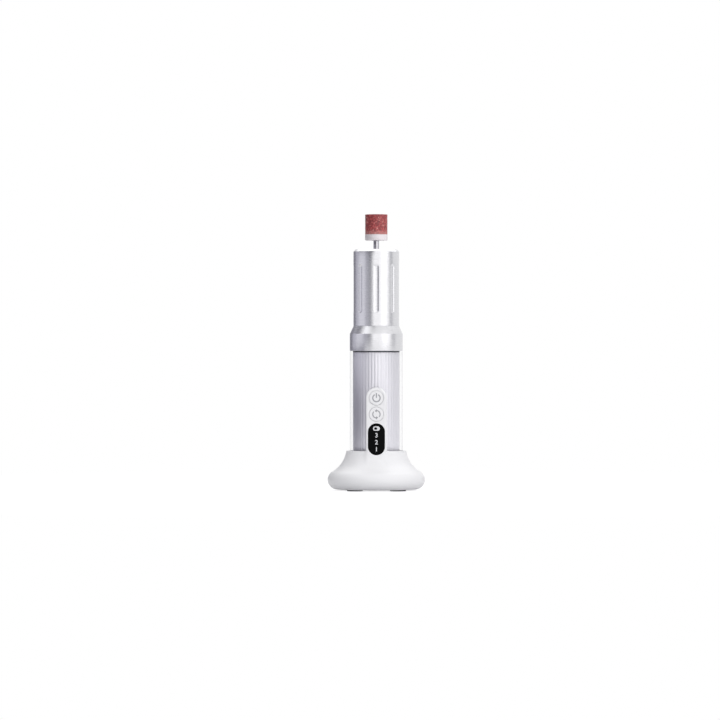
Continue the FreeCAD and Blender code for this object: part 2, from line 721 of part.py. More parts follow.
def button(z):
    """Round key with a soft front edge, a keeping flange and a stem to its switch."""
    cap = disc_y(BUTTON_D / 2, FACE_Y, BUTTON_FLANGE_Y, z)
    front = [edge for edge in cap.Edges if edge.BoundBox.YMax < FACE_Y + EPS]
    cap = cap.makeFillet(BUTTON_EDGE_R, front)
    flange = disc_y(BUTTON_FLANGE_D / 2, BUTTON_FLANGE_Y, STEM_Y, z)
    stem = disc_y(BUTTON_STEM_D / 2, STEM_Y, PLUNGER_Y, z)
    return cap.fuse([flange, stem]).removeSplitter()


def key_plunger(z):
    return disc_y(PLUNGER_R, PLUNGER_Y, PLUNGER_Y + PLUNGER_L, z)


def key_switch(z):
    half = SWITCH_SIDE / 2
    body = block(-half, half, SWITCH_Y, BOARD_Y, z - half, z + half)
    hole_r = PLUNGER_R + PLUNGER_GAP
    return body.cut(disc_y(hole_r, SWITCH_Y - 1, SWITCH_Y + PLUNGER_HOLE_DEPTH, z))


def battery_cell():
    can = rod(CELL_R, CELL_Z, CELL_TOP_Z - CELL_CAP_H, 0, CELL_Y)
    cap = rod(CELL_CAP_R, CELL_Z, CELL_TOP_Z, 0, CELL_Y)
    return can.fuse(cap).removeSplitter()


def battery_tabs():
    """Strips welded to both ends of the cell that reach the back of the board."""
    half = TAB_W / 2
    ends = (CELL_Z - TAB_T, CELL_TOP_Z)
    reach_y = CELL_Y + TAB_REACH
    strips = [block(-half, half, BOARD_BACK_Y, reach_y, z, z + TAB_T) for z in ends]
    return Part.makeCompound(strips)


def collar_ring():
    """Straight ring with a conical shoulder up to the nose cap."""
    bottom_z = TUBE_TOP_Z
    ring_top_z = bottom_z + COLLAR_H
    outer_r = COLLAR_OD / 2
    outline = [
        (NOSE_IN_R, bottom_z),
        (outer_r, bottom_z),
        (outer_r, ring_top_z),
        (NOSE_R, COLLAR_TOP_Z),
        (NOSE_IN_R, COLLAR_TOP_Z),
    ]
    return turned_polygon(outline)


def nose_cap():
    """Silver cap with long shallow grooves and a hole for the mandrel."""
    cap = rod(NOSE_R, COLLAR_TOP_Z, NOSE_TOP_Z)
    top = [edge for edge in cap.Edges if edge.BoundBox.ZMin > NOSE_TOP_Z - EPS]
    cap = cap.makeFillet(NOSE_EDGE_R, top)
    cap = cap.cut(rod(NOSE_IN_R, COLLAR_TOP_Z - 1, NOSE_IN_TOP_Z))
    cap = cap.fuse(ring(SEAL_R + SEAL_RIB_T, SEAL_R, NOSE_IN_TOP_Z - SEAL_T, NOSE_IN_TOP_Z))
    cap = cap.cut(rod(NOSE_HOLE_R, COLLAR_TOP_Z, NOSE_TOP_Z + 1))
    groove = stadium_y(GROOVE_W, GROOVE_L + GROOVE_W, GROOVE_Z, -FAR, GROOVE_DEPTH - NOSE_R)
    for i in range(GROOVE_COUNT):
        cap = cap.cut(around(groove, i * 360.0 / GROOVE_COUNT))
    return cap.removeSplitter()


def dust_seal():
    return ring(SEAL_R, MANDREL_R + SEAL_GAP, NOSE_IN_TOP_Z - SEAL_T, NOSE_IN_TOP_Z)


def motor_can():
    """Drawn steel can with flats, open at the bottom, closed at the top round the bushing."""
    top_z = CUP_TOP_Z
    can = motor_outline(0.0, MOTOR_Z, top_z)
    can = can.cut(motor_outline(-MOTOR_WALL, MOTOR_Z - 1, top_z - MOTOR_WALL))
    can = can.cut(rod(BUSHING_R, MOTOR_Z, top_z + 1))
    for side in (-1, 1):
        hole = rod(SMALL_SCREW_R + SCREW_GAP, MOTOR_Z, top_z + 1, side * MOTOR_SCREW_X, 0)
        can = can.cut(hole)
    return can


def motor_end_bell():
    """Plastic end of the motor with a plug inside the can and the lower bushing's seat."""
    disc = motor_outline(0.0, MOTOR_FLOOR_Z, MOTOR_Z)
    plug = motor_outline(-MOTOR_WALL - MAGNET_GAP, MOTOR_Z, MOTOR_Z + BELL_PLUG_T)
    bell = disc.fuse(plug)
    return bell.cut(rod(BUSHING_R, MOTOR_FLOOR_Z - 1, MOTOR_Z + BELL_PLUG_T + 1))


def motor_bushings():
    bore_r = SHAFT_R + SHAFT_RUN_GAP
    high_z = CUP_TOP_Z - MOTOR_WALL
    lower = ring(BUSHING_R, bore_r, MOTOR_FLOOR_Z, MOTOR_FLOOR_Z + BUSHING_L)
    upper = ring(BUSHING_R, bore_r, high_z, high_z + BUSHING_L)
    return Part.makeCompound([lower, upper])


def motor_magnets():
    """Two curved magnets inside the can, left and right of the rotor."""
    outer_r = MOTOR_D / 2 - MOTOR_WALL - MAGNET_GAP
    half_y = MOTOR_FLAT / 2 - MOTOR_WALL - MAGNET_GAP
    shell = ring(outer_r, MAGNET_IN_R, MAGNET_Z, MAGNET_Z + MAGNET_L)
    side_y = min(half_y, MAGNET_IN_R * math.sin(math.radians(MAGNET_HALF_ANGLE)))
    magnets = []
    for x0, x1 in ((0, FAR), (-FAR, 0)):
        magnets.append(shell.common(block(x0, x1, -side_y, side_y, 0, DRUM_TOP_Z)))
    return Part.makeCompound(magnets)


def motor_brushes():
    z0 = MOTOR_Z + BELL_PLUG_T
    near = COMMUTATOR_R + BRUSH_GAP
    half = BRUSH_W / 2
    brushes = []
    for y0, y1 in ((near, near + BRUSH_L), (-near - BRUSH_L, -near)):
        brushes.append(block(-half, half, y0, y1, z0, z0 + BRUSH_H))
    return Part.makeCompound(brushes)


def motor_terminals():
    tabs = []
    for side in (-1, 1):
        x0 = side * TERMINAL_X - TERMINAL_T / 2
        half = TERMINAL_W / 2
        ends = (MOTOR_FLOOR_Z - TERMINAL_L, MOTOR_FLOOR_Z)
        tabs.append(block(x0, x0 + TERMINAL_T, -half, half, *ends))
    return Part.makeCompound(tabs)


def motor_bracket():
    """Round plate that holds the motor down in its cup."""
    plate = ring(CUP_R, BRACKET_HOLE_R, CUP_TOP_Z, CUP_TOP_Z + BRACKET_T)
    for side in (-1, 1):
        hole = rod(SMALL_SCREW_R + SCREW_GAP, MOTOR_Z, FAR, side * MOTOR_SCREW_X, 0)
        plate = plate.cut(hole)
    return plate


def motor_screws():
    screws = []
    seat_z = CUP_TOP_Z + BRACKET_T
    for side in (-1, 1):
        x = side * MOTOR_SCREW_X
        head = (SMALL_HEAD_R, SMALL_HEAD_H)
        screws.append(screw_z(x, 0, seat_z, SMALL_SCREW_R, MOTOR_SCREW_L, *head, False))
    return Part.makeCompound(screws)


def motor_shaft():
    return rod(SHAFT_R, MOTOR_Z - SHAFT_TAIL, SHAFT_TOP_Z)


def rotor_core():
    """Laminated armature with three poles."""
    z1 = CORE_Z + CORE_L
    core = rod(POLE_HUB_R, CORE_Z, z1)
    tips = ring(CORE_R, CORE_R - POLE_TIP_T, CORE_Z, z1)
    half = POLE_STEM_W / 2
    for i in range(POLES):
        stem = block(0, CORE_R - POLE_TIP_T / 2, -half, half, CORE_Z, z1)
        gap_half = POLE_GAP_W / 2
        gap = block(CORE_R / 2, FAR, -gap_half, gap_half, CORE_Z - 1, z1 + 1)
        core = core.fuse(around(stem, i * 360.0 / POLES))
        tips = tips.cut(around(gap, (i + 0.5) * 360.0 / POLES))
    core = core.fuse(tips)
    return core.cut(rod(SHAFT_R + SHAFT_FIT, CORE_Z - 1, z1 + 1)).removeSplitter()


def rotor_windings():
    """One coil round the stem of each pole."""
    z0 = CORE_Z - COIL_OVER
    z1 = CORE_Z + CORE_L + COIL_OVER
    half = COIL_W / 2
    reach = math.sqrt((CORE_R - POLE_TIP_T - COIL_GAP) ** 2 - half**2)
    outside = block(COIL_IN_R, reach, -half, half, z0, z1)
    hole_half = POLE_STEM_W / 2 + SCREW_GAP
    hole = block(0, CORE_R, -hole_half, hole_half, CORE_Z - SCREW_GAP, CORE_Z + CORE_L + SCREW_GAP)
    coil = outside.cut(hole)
    return Part.makeCompound([around(coil, i * 360.0 / POLES) for i in range(POLES)])


def commutator():
    """Copper ring in three segments, joined by its insulating core."""
    z1 = COMMUTATOR_Z + COMMUTATOR_L
    body = ring(COMMUTATOR_R, SHAFT_R + SHAFT_FIT, COMMUTATOR_Z, z1)
    half = COMMUTATOR_SLIT / 2
    groove_in = (COMMUTATOR_R + SHAFT_R) / 2
    for i in range(POLES):
        slit = block(groove_in, FAR, -half, half, COMMUTATOR_Z - 1, z1 + 1)
        body = body.cut(around(slit, (i + 0.5) * 360.0 / POLES))
    return body


def chuck_body():
    """Steel body pressed on the shaft, bored above it for the collet."""
    z1 = CHUCK_Z + CHUCK_H
    body = rod(CHUCK_R, CHUCK_Z, z1)
    body = body.cut(rod(SHAFT_R + SHAFT_FIT, CHUCK_Z - 1, z1))
    return body.cut(rod(COLLET_R + CHUCK_BORE_GAP, COLLET_Z, z1 + 1))


def collet():
    """Split sleeve, widest near its mouth, that closes on the mandrel."""
    mouth_z = COLLET_Z + COLLET_H
    wide_z = (COLLET_Z + COLLET_STRAIGHT + mouth_z) / 2
    bore_r = MANDREL_R + COLLET_FIT
    outline = [
        (bore_r, COLLET_Z),
        (COLLET_R, COLLET_Z),
        (COLLET_R, COLLET_Z + COLLET_STRAIGHT),
        (COLLET_WIDE_R, wide_z),
        (COLLET_R, mouth_z),
        (bore_r, mouth_z),
    ]
    body = turned_polygon(outline)
    half = COLLET_SLIT / 2
    slit_z = COLLET_Z + COLLET_STRAIGHT / 2
    for angle in (0.0, 90.0):
        slit = block(-FAR, FAR, -half, half, slit_z, mouth_z + 1)
        body = body.cut(around(slit, angle))
    return body


def chuck_nut():
    """Hexagon nut over the chuck body, with a lip over the collet."""
    z1 = NUT_Z + NUT_H
    corner_r = NUT_FLATS / math.sqrt(3.0)
    corners = [Vector(*polar(corner_r, 60.0 * i), NUT_Z) for i in range(7)]
    nut = Part.Face(Part.makePolygon(corners)).extrude(Vector(0, 0, NUT_H))
    nut = nut.cut(rod(CHUCK_R + SHAFT_FIT, NUT_Z - 1, CHUCK_Z + CHUCK_H + SHAFT_FIT))
    nut = nut.cut(rod(NUT_BORE_R, NUT_Z, z1 - NUT_LIP_T))
    return nut.cut(rod(NUT_HOLE_R, NUT_Z, z1 + 1))


def mandrel():
    """Steel spindle of the drum with a threaded hole in its top."""
    pin = rod(MANDREL_R, MANDREL_BOTTOM_Z, MANDREL_TOP_Z)
    screw_end_z = DRUM_SCREW_SEAT_Z - DRUM_SCREW_L
    return pin.cut(rod(DRUM_SCREW_R + SCREW_GAP, screw_end_z - DRUM_SCREW_DEEP, DRUM_TOP_Z))


def drum_hub():
    """White drum: flange below, core inside the band, seat for the screw in the top."""
    hub = rod(BAND_OD / 2, DRUM_Z, BAND_Z).fuse(rod(HUB_R, DRUM_Z, HUB_TOP_Z))
    hub = hub.cut(rod(MANDREL_R + HUB_FIT, DRUM_Z - 1, MANDREL_TOP_Z + SCREW_GAP))
    hub = hub.cut(rod(DRUM_SCREW_R + SCREW_GAP, DRUM_Z, DRUM_TOP_Z))
    hub = hub.cut(rod(DRUM_SCREW_HEAD_R + SCREW_GAP, DRUM_SCREW_SEAT_Z, DRUM_TOP_Z))
    return hub.removeSplitter()


def drum_screw():
    """Slotted screw that keeps the drum on the mandrel."""
    head = (DRUM_SCREW_HEAD_R, DRUM_SCREW_HEAD_H)
    screw = screw_z(0, 0, DRUM_SCREW_SEAT_Z, DRUM_SCREW_R, DRUM_SCREW_L, *head, False)
    half = DRUM_SLOT_W / 2
    slot_z = DRUM_SCREW_TOP_Z - DRUM_SLOT_DEPTH
    return screw.cut(block(-FAR, FAR, -half, half, slot_z, DRUM_TOP_Z))


def sanding_band():
    return ring(BAND_OD / 2, BAND_IN_R, BAND_Z, DRUM_TOP_Z)


def usb_socket():
    """Charging receptacle: steel shell with its contact tongue."""
    back_y = USB_MOUTH_Y - USB_L
    shell = flat_stadium_y(USB_W, USB_H, USB_Z, back_y, USB_MOUTH_Y)
    inside = (USB_W - 2 * USB_WALL, USB_H - 2 * USB_WALL)
    floor_y = USB_MOUTH_Y - USB_DEPTH
    shell = shell.cut(flat_stadium_y(*inside, USB_Z, floor_y, USB_MOUTH_Y + 1))
    half_w = USB_TONGUE_W / 2
    half_t = USB_TONGUE_T / 2
    tongue_y = floor_y + USB_TONGUE_L
    tongue = block(-half_w, half_w, floor_y, tongue_y, USB_Z - half_t, USB_Z + half_t)
    return shell.fuse(tongue).removeSplitter()


def charge_board():
    half = CHARGE_BOARD_W / 2
    ends = (CHARGE_BOARD_Y, CHARGE_BOARD_END_Y)
    board = block(-half, half, *ends, CHARGE_BOARD_Z, CHARGE_BOARD_TOP_Z)
    for side in (-1, 1):
        x = side * CHARGE_SCREW_X
        board = board.cut(rod(SMALL_SCREW_R + SCREW_GAP, BASE_Z, FAR, x, CHARGE_SCREW_Y))
    return board


def charge_board_screws():
    screws = []
    for side in (-1, 1):
        x = side * CHARGE_SCREW_X
        seat = (x, CHARGE_SCREW_Y, CHARGE_BOARD_TOP_Z)
        shank = (SMALL_SCREW_R, CHARGE_SCREW_DEPTH)
        screws.append(screw_z(*seat, *shank, SMALL_HEAD_R, SMALL_HEAD_H, False))
    return Part.makeCompound(screws)


def motor_leads():
    """Two wires from the top edge of the board to the motor's terminals."""
    wires = []
    board_y = (BOARD_Y + BOARD_BACK_Y) / 2
    end_z = MOTOR_FLOOR_Z - TERMINAL_L
    for side in (-1, 1):
        x = side * TERMINAL_X / 2
        points = [
            Vector(x, board_y, BOARD_TOP_Z),
            Vector(x, board_y, BOARD_TOP_Z + WIRE_RUN),
            Vector(side * TERMINAL_X, 0, end_z - WIRE_RUN),
            Vector(side * TERMINAL_X, 0, end_z),
        ]
        wires.append(wire_along(points, WIRE_R, WIRE_BEND))
    return Part.makeCompound(wires)


def charge_leads():
    """Two wires from the charging board, through the throat of the foot, to the control board."""
    wires = []
    low_z = (CHARGE_BOARD_TOP_Z + LEDGE_LOW_Z) / 2
    high_z = (LEDGE_Z + FLOOR_T + SHELF_Z) / 2
    start_y = CHARGE_BOARD_Y + WIRE_INSET
    for side in (-1, 1):
        x = side * WIRE_X
        points = [
            Vector(x, start_y, CHARGE_BOARD_TOP_Z),
            Vector(x, start_y, low_z),
            Vector(x, FLOOR_HOLE_Y, low_z),
            Vector(x, FLOOR_HOLE_Y, high_z),
            Vector(x, BOARD_BACK_Y, high_z),
        ]
        wires.append(wire_along(points, WIRE_R, WIRE_BEND))
    return Part.makeCompound(wires)


PIECES = {
    "base_housing": base_housing,
    "base_plate": base_plate,
    "rubber_feet": rubber_feet,
    "base_screws": base_screws,
    "clear_tube": clear_tube,
    "ribbed_sleeve": ribbed_sleeve,
    "sleeve_gasket": sleeve_gasket,
    "inner_chassis": inner_chassis,
    "chassis_screws": chassis_screws,
    "control_board": control_board,
    "board_screws": board_screws,
    "display_window": display_window,
    "display_module": display_module,
    "power_button": lambda: button(POWER_Z),
    "speed_button": lambda: button(SPEED_Z),
    "power_plunger": lambda: key_plunger(POWER_Z),
    "speed_plunger": lambda: key_plunger(SPEED_Z),
    "power_switch": lambda: key_switch(POWER_Z),
    "speed_switch": lambda: key_switch(SPEED_Z),
    "battery_cell": battery_cell,
    "battery_tabs": battery_tabs,
    "collar_ring": collar_ring,
    "nose_cap": nose_cap,
    "dust_seal": dust_seal,
    "motor_can": motor_can,
    "motor_end_bell": motor_end_bell,
    "motor_bushings": motor_bushings,
    "motor_magnets": motor_magnets,
    "motor_brushes": motor_brushes,
    "motor_terminals": motor_terminals,
    "motor_bracket": motor_bracket,
    "motor_screws": motor_screws,
    "motor_shaft": motor_shaft,
    "rotor_core": rotor_core,
    "rotor_windings": rotor_windings,
    "commutator": commutator,
    "chuck_body": chuck_body,
    "collet": collet,
    "chuck_nut": chuck_nut,
    "mandrel": mandrel,
    "drum_hub": drum_hub,
    "drum_screw": drum_screw,
    "sanding_band": sanding_band,
    "usb_socket": usb_socket,
    "charge_board": charge_board,
    "charge_board_screws": charge_board_screws,
    "motor_leads": motor_leads,
    "charge_leads": charge_leads,
}

os.makedirs("parts", exist_ok=True)
for name, make in PIECES.items():
    shape = make()
    solids = len(shape.Solids)
    print(f"{name}: {solids} solid(s), {shape.Volume:.1f} mm3, valid {shape.isValid()}")
    shape.exportStep(f"parts/{name}.step")
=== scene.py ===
import itertools
import math

import bmesh
import bpy
import numpy as np
from mathutils import Matrix, Vector, noise


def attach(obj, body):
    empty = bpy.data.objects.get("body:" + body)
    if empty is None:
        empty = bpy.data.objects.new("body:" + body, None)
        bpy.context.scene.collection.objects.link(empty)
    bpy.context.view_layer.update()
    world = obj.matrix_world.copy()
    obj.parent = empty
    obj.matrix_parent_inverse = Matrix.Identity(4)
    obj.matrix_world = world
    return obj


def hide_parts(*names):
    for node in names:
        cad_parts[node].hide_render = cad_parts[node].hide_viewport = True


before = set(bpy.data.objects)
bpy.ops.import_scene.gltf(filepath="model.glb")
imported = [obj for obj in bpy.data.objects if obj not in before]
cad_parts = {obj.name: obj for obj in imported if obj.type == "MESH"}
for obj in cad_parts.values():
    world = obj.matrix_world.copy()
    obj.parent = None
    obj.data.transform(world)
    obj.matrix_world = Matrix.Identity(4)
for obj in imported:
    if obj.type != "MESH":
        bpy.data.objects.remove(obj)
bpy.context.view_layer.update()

MM = 0.001

# Turns a form that stands on the Z axis, so that its height runs inwards from the front face
AXIS_TURN = Matrix.Rotation(-math.pi / 2, 4, "X")

# Sizes in millimetres, +Z up, the front faces -Y, as in the part's source. Only the ribs and
# grooves are shallower here, and the grooves shorter, because they look that soft
FACE_Y = -17.6
RIM_Z = 22.6
# The foot's round bulge and the hollow flare over it: how far out and how high the centre of
# each is, and its own radius
BULGE = (22.1, 6.1, 5.4)
FLARE = (33.1, 24.88, 16.37)
WALL = 2.2
RIM_R = 16.9
SOCKET_R = 15.15
TONGUE_HALF = 5.9
TONGUE_INSIDE = 1.75
TONGUE_LOW_Z = 12.0
POWER_Z = 52.4
SPEED_Z = 43.3
WINDOW_Z = 29.3
TUBE_R = 15.0
TUBE_IN_R = 13.25
TUBE_TOP_Z = 78.85
LEDGE_Z = 9.0
SLEEVE_R = 13.15
SLEEVE_IN_R = 11.65
SLEEVE_TOP_Z = 78.05
RIB_COUNT = 45
RIB_DEPTH = 0.15
SLOT_HALF = 5.2
RING_R = 14.95
RING_TOP_Z = 88.4
SHOULDER_TOP_Z = 92.8
NOSE_R = 12.9
NOSE_IN_R = 11.6
NOSE_TOP_Z = 136.1
GROOVE_COUNT = 8
GROOVE_HALF_W = 1.5
GROOVE_HALF_L = 12.2
GROOVE_Z = 113.85
GROOVE_DEPTH = 0.45
MANDREL_R = 1.6
DRUM_Z = 141.2
BAND_Z = 144.5
DRUM_TOP_Z = 155.8
BAND_R = 6.35
BAND_IN_R = 5.5
HUB_R = 5.45
HUB_TOP_Z = 155.3
SPINDLE_TOP_Z = 151.0
SCREW_SEAT_Z = 153.8
THREAD_R = 0.95
PORT_Z = 7.0
PORT_WAY = (9.54, 3.86)
PORT_MOUTH = (10.9, 5.2)
WINDOW_SIZE = (9.5, 17.8)
KEY_FLANGE_R = 4.4
PAD_R = 4.5
PAD_PLACES = [(sx * 12.1, sy * 11.0) for sx in (-1, 1) for sy in (-1, 1)]
SCREW_PLACES = [(0.0, -17.0), (17.0, 0.0), (-17.0, 0.0)]

# Sizes that only this model has, in millimetres too: a narrower gap round the keys, softer edges
# on the housing and the nose, the frame behind the tongue, the signs and the grit
KEY_R = 4.05
KEY_HOLE_R = 4.16
KEY_POCKET_R = 4.6
NOSE_BEVEL = 1.4
RIM_EDGE = 0.35
EDGE_ROUND = 0.8
EDGE_ROUND_MORE = 2.1
FILLET = 0.9
FILLET_MORE = 1.8
FRAME_FRONT_Y = -15.4
FRAME_BACK_Y = -11.9
SIGN_R = 2.05
SIGN_TOP_Y = FACE_Y - 0.03
SIGN_FOOT_Y = FACE_Y + 0.1
BATTERY_Z = 35.3
DIGIT_HEIGHTS = {"3": 31.4, "2": 27.5, "1": 23.6}
DIGIT_SIZE = 3.5
GRIT = 0.6
GRIT_DEPTH = 0.16

# Camera: level, from the front, with a long lens. The picture's middle is left of the object's
VIEW_X = -9.2
VIEW_Z = 73.7
VIEW_DISTANCE = 2257.8
VIEW_LENS = 200.0


def place_camera():
    camera = bpy.data.objects.new("camera", bpy.data.cameras.new("camera"))
    camera.data.lens = VIEW_LENS
    camera.data.clip_start = 0.05
    camera.data.clip_end = 30.0
    camera.location = (VIEW_X * MM, -VIEW_DISTANCE * MM, VIEW_Z * MM)
    camera.rotation_euler = (math.pi / 2, 0, 0)
    bpy.context.scene.collection.objects.link(camera)
    bpy.context.scene.camera = camera


# Materials


def linear(code):
    """Linear colour of an sRGB hex code."""
    shares = [int(code[i : i + 2], 16) / 255 for i in (1, 3, 5)]
    plain = [c / 12.92 if c <= 0.04045 else ((c + 0.055) / 1.055) ** 2.4 for c in shares]
    return (*plain, 1.0)


def add(material, kind, sockets=None, **settings):
    """Adds a node with its settings, and sets or links its inputs."""
    tree = material.node_tree
    node = tree.nodes.new(kind)
    for name, value in settings.items():
        setattr(node, name, value)
    for name, value in (sockets or {}).items():
        if isinstance(value, bpy.types.NodeSocket):
            tree.links.new(value, node.inputs[name])
        else:
            node.inputs[name].default_value = value
    return node


def empty_material(name):
    material = bpy.data.materials.new(name)
    material.use_nodes = True
    material.node_tree.nodes.clear()
    return material


def at_scale(material, grain_mm, stretch=(1, 1, 1)):
    """Coordinates in which one grain is one unit, longer along an axis where stretch is over 1."""
    place = add(material, "ShaderNodeTexCoord").outputs["Object"]
    scale = [1 / (grain_mm * MM * s) for s in stretch]
    return add(material, "ShaderNodeMapping", {"Vector": place, "Scale": scale}).outputs["Vector"]


def surfaced(material, **sockets):
    """Closes a material with its shader. Names carry _ for a space."""
    named = {name.replace("_", " "): value for name, value in sockets.items()}
    shader = add(material, "ShaderNodeBsdfPrincipled", named)
    add(material, "ShaderNodeOutputMaterial", {"Surface": shader.outputs["BSDF"]})
    return material


def finish(name, light, dark, grain_mm, gloss, spread, height_mm, stretch=(1, 1, 1), **sockets):
    """Surface whose colour, gloss and height vary a little at a real grain size."""
    material = empty_material(name)
    where = at_scale(material, grain_mm, stretch)
    grain = add(material, "ShaderNodeTexNoise", {"Vector": where, "Scale": 1.0, "Detail": 3.0})
    share = grain.outputs["Fac"]
    colours = {0: share, 6: linear(light), 7: linear(dark)}
    sockets["Base_Color"] = add(material, "ShaderNodeMix", colours, data_type="RGBA").outputs[2]
    range_in = {"Value": share, "From Min": 0.3, "From Max": 0.7}
    range_out = {"To Min": gloss - spread, "To Max": gloss + spread}
    rough = add(material, "ShaderNodeMapRange", {**range_in, **range_out})
    sockets["Roughness"] = rough.outputs["Result"]
    if height_mm:
        bump = add(material, "ShaderNodeBump", {"Height": share, "Distance": height_mm * MM})
        sockets["Normal"] = bump.outputs["Normal"]
    return surfaced(material, **sockets)


# White ABS, moulded in a spark-eroded tool: broad soft highlights over a barely felt grain.
# The real texture is about 0.1 mm and is drawn at 0.5 mm, because a finer one doesn't show.
WHITE_ABS = finish("white_abs_moulded", "#f3f3f5", "#eeeef1", 0.5, 0.42, 0.05, 0.004, IOR=1.54)

# White nylon of the drum, turned: a little warmer and duller than the housing
WHITE_NYLON = finish(
    "white_nylon_turned", "#f4eef1", "#eae2e6", 0.8, 0.5, 0.06, 0.01, (6, 6, 0.3), IOR=1.53
)

# Anodised aluminium, turned: satin, with fine lines round the axis.
# Turning marks are about 0.05 mm apart and are drawn at 0.25 mm.
TURNED_ALUMINIUM = finish(
    "anodised_aluminium_turned", "#dcdcdf", "#d7d7da",
    0.25, 0.28, 0.012, 0.0003, (60, 60, 1), Metallic=1.0,
)

# Anodised aluminium, drawn through a die: satin, with faint lines up the ribs
DRAWN_ALUMINIUM = finish(
    "anodised_aluminium_drawn", "#e0dfe5", "#d8d7dd",
    0.3, 0.5, 0.04, 0.002, (1, 1, 80), Metallic=1.0,
)

# Steel of the spindle, ground bright: clear reflections with hairlines round the axis
GROUND_STEEL = finish(
    "spindle_steel_ground", "#c4c3c8", "#b4b3b8",
    0.15, 0.18, 0.04, 0.001, (20, 20, 1), Metallic=1.0,
)

# Steel of the screws, zinc plated: bluish and half bright, with a faint mottle
ZINC_STEEL = finish(
    "screw_steel_zinc_plated", "#c2c5cb", "#adb0b6", 0.4, 0.3, 0.08, 0.004, Metallic=1.0
)

# Sheet steel of the motor, pressed: grey and satin
PRESSED_STEEL = finish(
    "motor_steel_pressed", "#b9bbbd", "#a3a5a8", 0.8, 0.33, 0.08, 0.004, Metallic=1.0
)

# Nickel plate on pressed strip: warm and fairly bright
NICKEL = finish("nickel_plate_pressed", "#cfccc4", "#bdb9b0", 0.5, 0.24, 0.07, 0.003, Metallic=1.0)

# Bronze, sintered: brown and dull from its pores
BRONZE = finish("bronze_sintered", "#a9825a", "#8c6844", 0.25, 0.45, 0.1, 0.02, Metallic=1.0)

# Brass, stamped: yellow, with a bright skin
BRASS = finish("brass_stamped", "#d0b064", "#b8964c", 0.5, 0.28, 0.07, 0.004, Metallic=1.0)

# Copper segments, turned: orange, with lines round the axis where the brushes run
COPPER = finish(
    "copper_segments_turned", "#c87a52", "#a85f3c",
    0.2, 0.3, 0.08, 0.004, (30, 30, 1), Metallic=1.0,
)

# Plastics of the inside, moulded: half matt, with the tool's fine grain
GREY_ABS = finish("grey_abs_moulded", "#8d8f94", "#808287", 0.6, 0.5, 0.06, 0.01, IOR=1.54)
BLACK_NYLON = finish("black_nylon_moulded", "#26272a", "#1c1d20", 0.5, 0.45, 0.06, 0.01, IOR=1.53)
LCD_BODY = finish("display_body_moulded", "#2b2c31", "#232429", 0.6, 0.4, 0.06, 0.008, IOR=1.54)

# Rubber of the pads and the gasket, moulded: dark and dull, with hardly a highlight. The gasket's
# dark grey is partly painted shade, for the shadow in the gap under the shoulder ring
DARK_RUBBER = finish("dark_rubber_moulded", "#343338", "#2a292e", 0.4, 0.75, 0.08, 0.03, IOR=1.52)
GASKET_RUBBER_AND_GAP_SHADE = finish(
    "gasket_rubber_and_gap_shadow", "#3f3e46", "#33323a", 0.4, 0.65, 0.08, 0.02, IOR=1.52
)

# Glass cloth in epoxy, laminated: green, with the cloth's faint mottle under a gloss
BOARD = finish(
    "glass_epoxy_laminate", "#2f7a4c", "#25663e", 0.7, 0.36, 0.06, 0.01, (1, 1, 3), IOR=1.55
)

# PVC sleeve of the cell, shrunk on: blue, tight and glossy, with long soft waves
CELL_WRAP = finish(
    "cell_wrap_shrunk_pvc", "#3f78b5", "#376ca6", 2.0, 0.25, 0.06, 0.02, (1, 1, 4), IOR=1.54
)

# Ferrite, sintered, and carbon, pressed: near black and dull, with a fine grit
FERRITE = finish("ferrite_sintered", "#3b3a3c", "#2d2c2e", 0.3, 0.6, 0.1, 0.02, IOR=2.3)
CARBON = finish("carbon_brush_pressed", "#2c2b2b", "#1f1e1e", 0.2, 0.55, 0.1, 0.02, IOR=2.0)

# PVC of the wires, extruded: red, with a soft gloss along the wire
WIRE_SHEATH = finish(
    "wire_sheath_extruded_pvc", "#b23a34", "#9e302b", 0.6, 0.4, 0.06, 0.01, (1, 1, 5), IOR=1.54
)

# Wool felt, pressed: dull and furry, with a soft glow at its edges
FELT = finish(
    "wool_felt_pressed", "#bdb8b0", "#a39e96", 0.3, 0.92, 0.05, 0.08, IOR=1.5, Sheen_Weight=0.5
)

# Marks: matt grey ink printed on the keys, and pale segments behind the window
KEY_INK = finish("grey_ink_printed", "#acacb2", "#a2a2a8", 0.3, 0.6, 0.05, 0.0, IOR=1.5)
PALE_SEGMENTS = finish("pale_segments_lit", "#e6e7ea", "#d6d7db", 0.3, 0.5, 0.05, 0.0, IOR=1.5)

# Tinted acrylic of the window, polished and coated against glare: deep black, faintly glossy
BLACK_ACRYLIC = finish(
    "black_acrylic_polished", "#050506", "#020203",
    3.0, 0.12, 0.02, 0.0, IOR=1.49, Specular_IOR_Level=0.05,
)


def clear_acrylic():
    """Clear acrylic, extruded: seen through, with a pale film that thickens towards the sides.
    The die leaves lines up its wall, about 0.4 mm apart."""
    material = empty_material("clear_acrylic_extruded")
    where = at_scale(material, 0.4, (1, 1, 90))
    lines = add(material, "ShaderNodeTexNoise", {"Vector": where, "Scale": 1.0, "Detail": 2.0})
    gloss = {"Value": lines.outputs["Fac"], "To Min": 0.03, "To Max": 0.1}
    rough = add(material, "ShaderNodeMapRange", gloss)
    edge = add(material, "ShaderNodeLayerWeight", {"Blend": 0.25})
    film_in = {"Value": edge.outputs["Facing"], "From Min": 0.3, "From Max": 0.8}
    film = add(material, "ShaderNodeMapRange", {**film_in, "To Min": 0.02, "To Max": 0.34})
    return surfaced(
        material,
        Base_Color=linear("#eeeef2"),
        Roughness=rough.outputs["Result"],
        Alpha=film.outputs["Result"],
        IOR=1.49,
    )


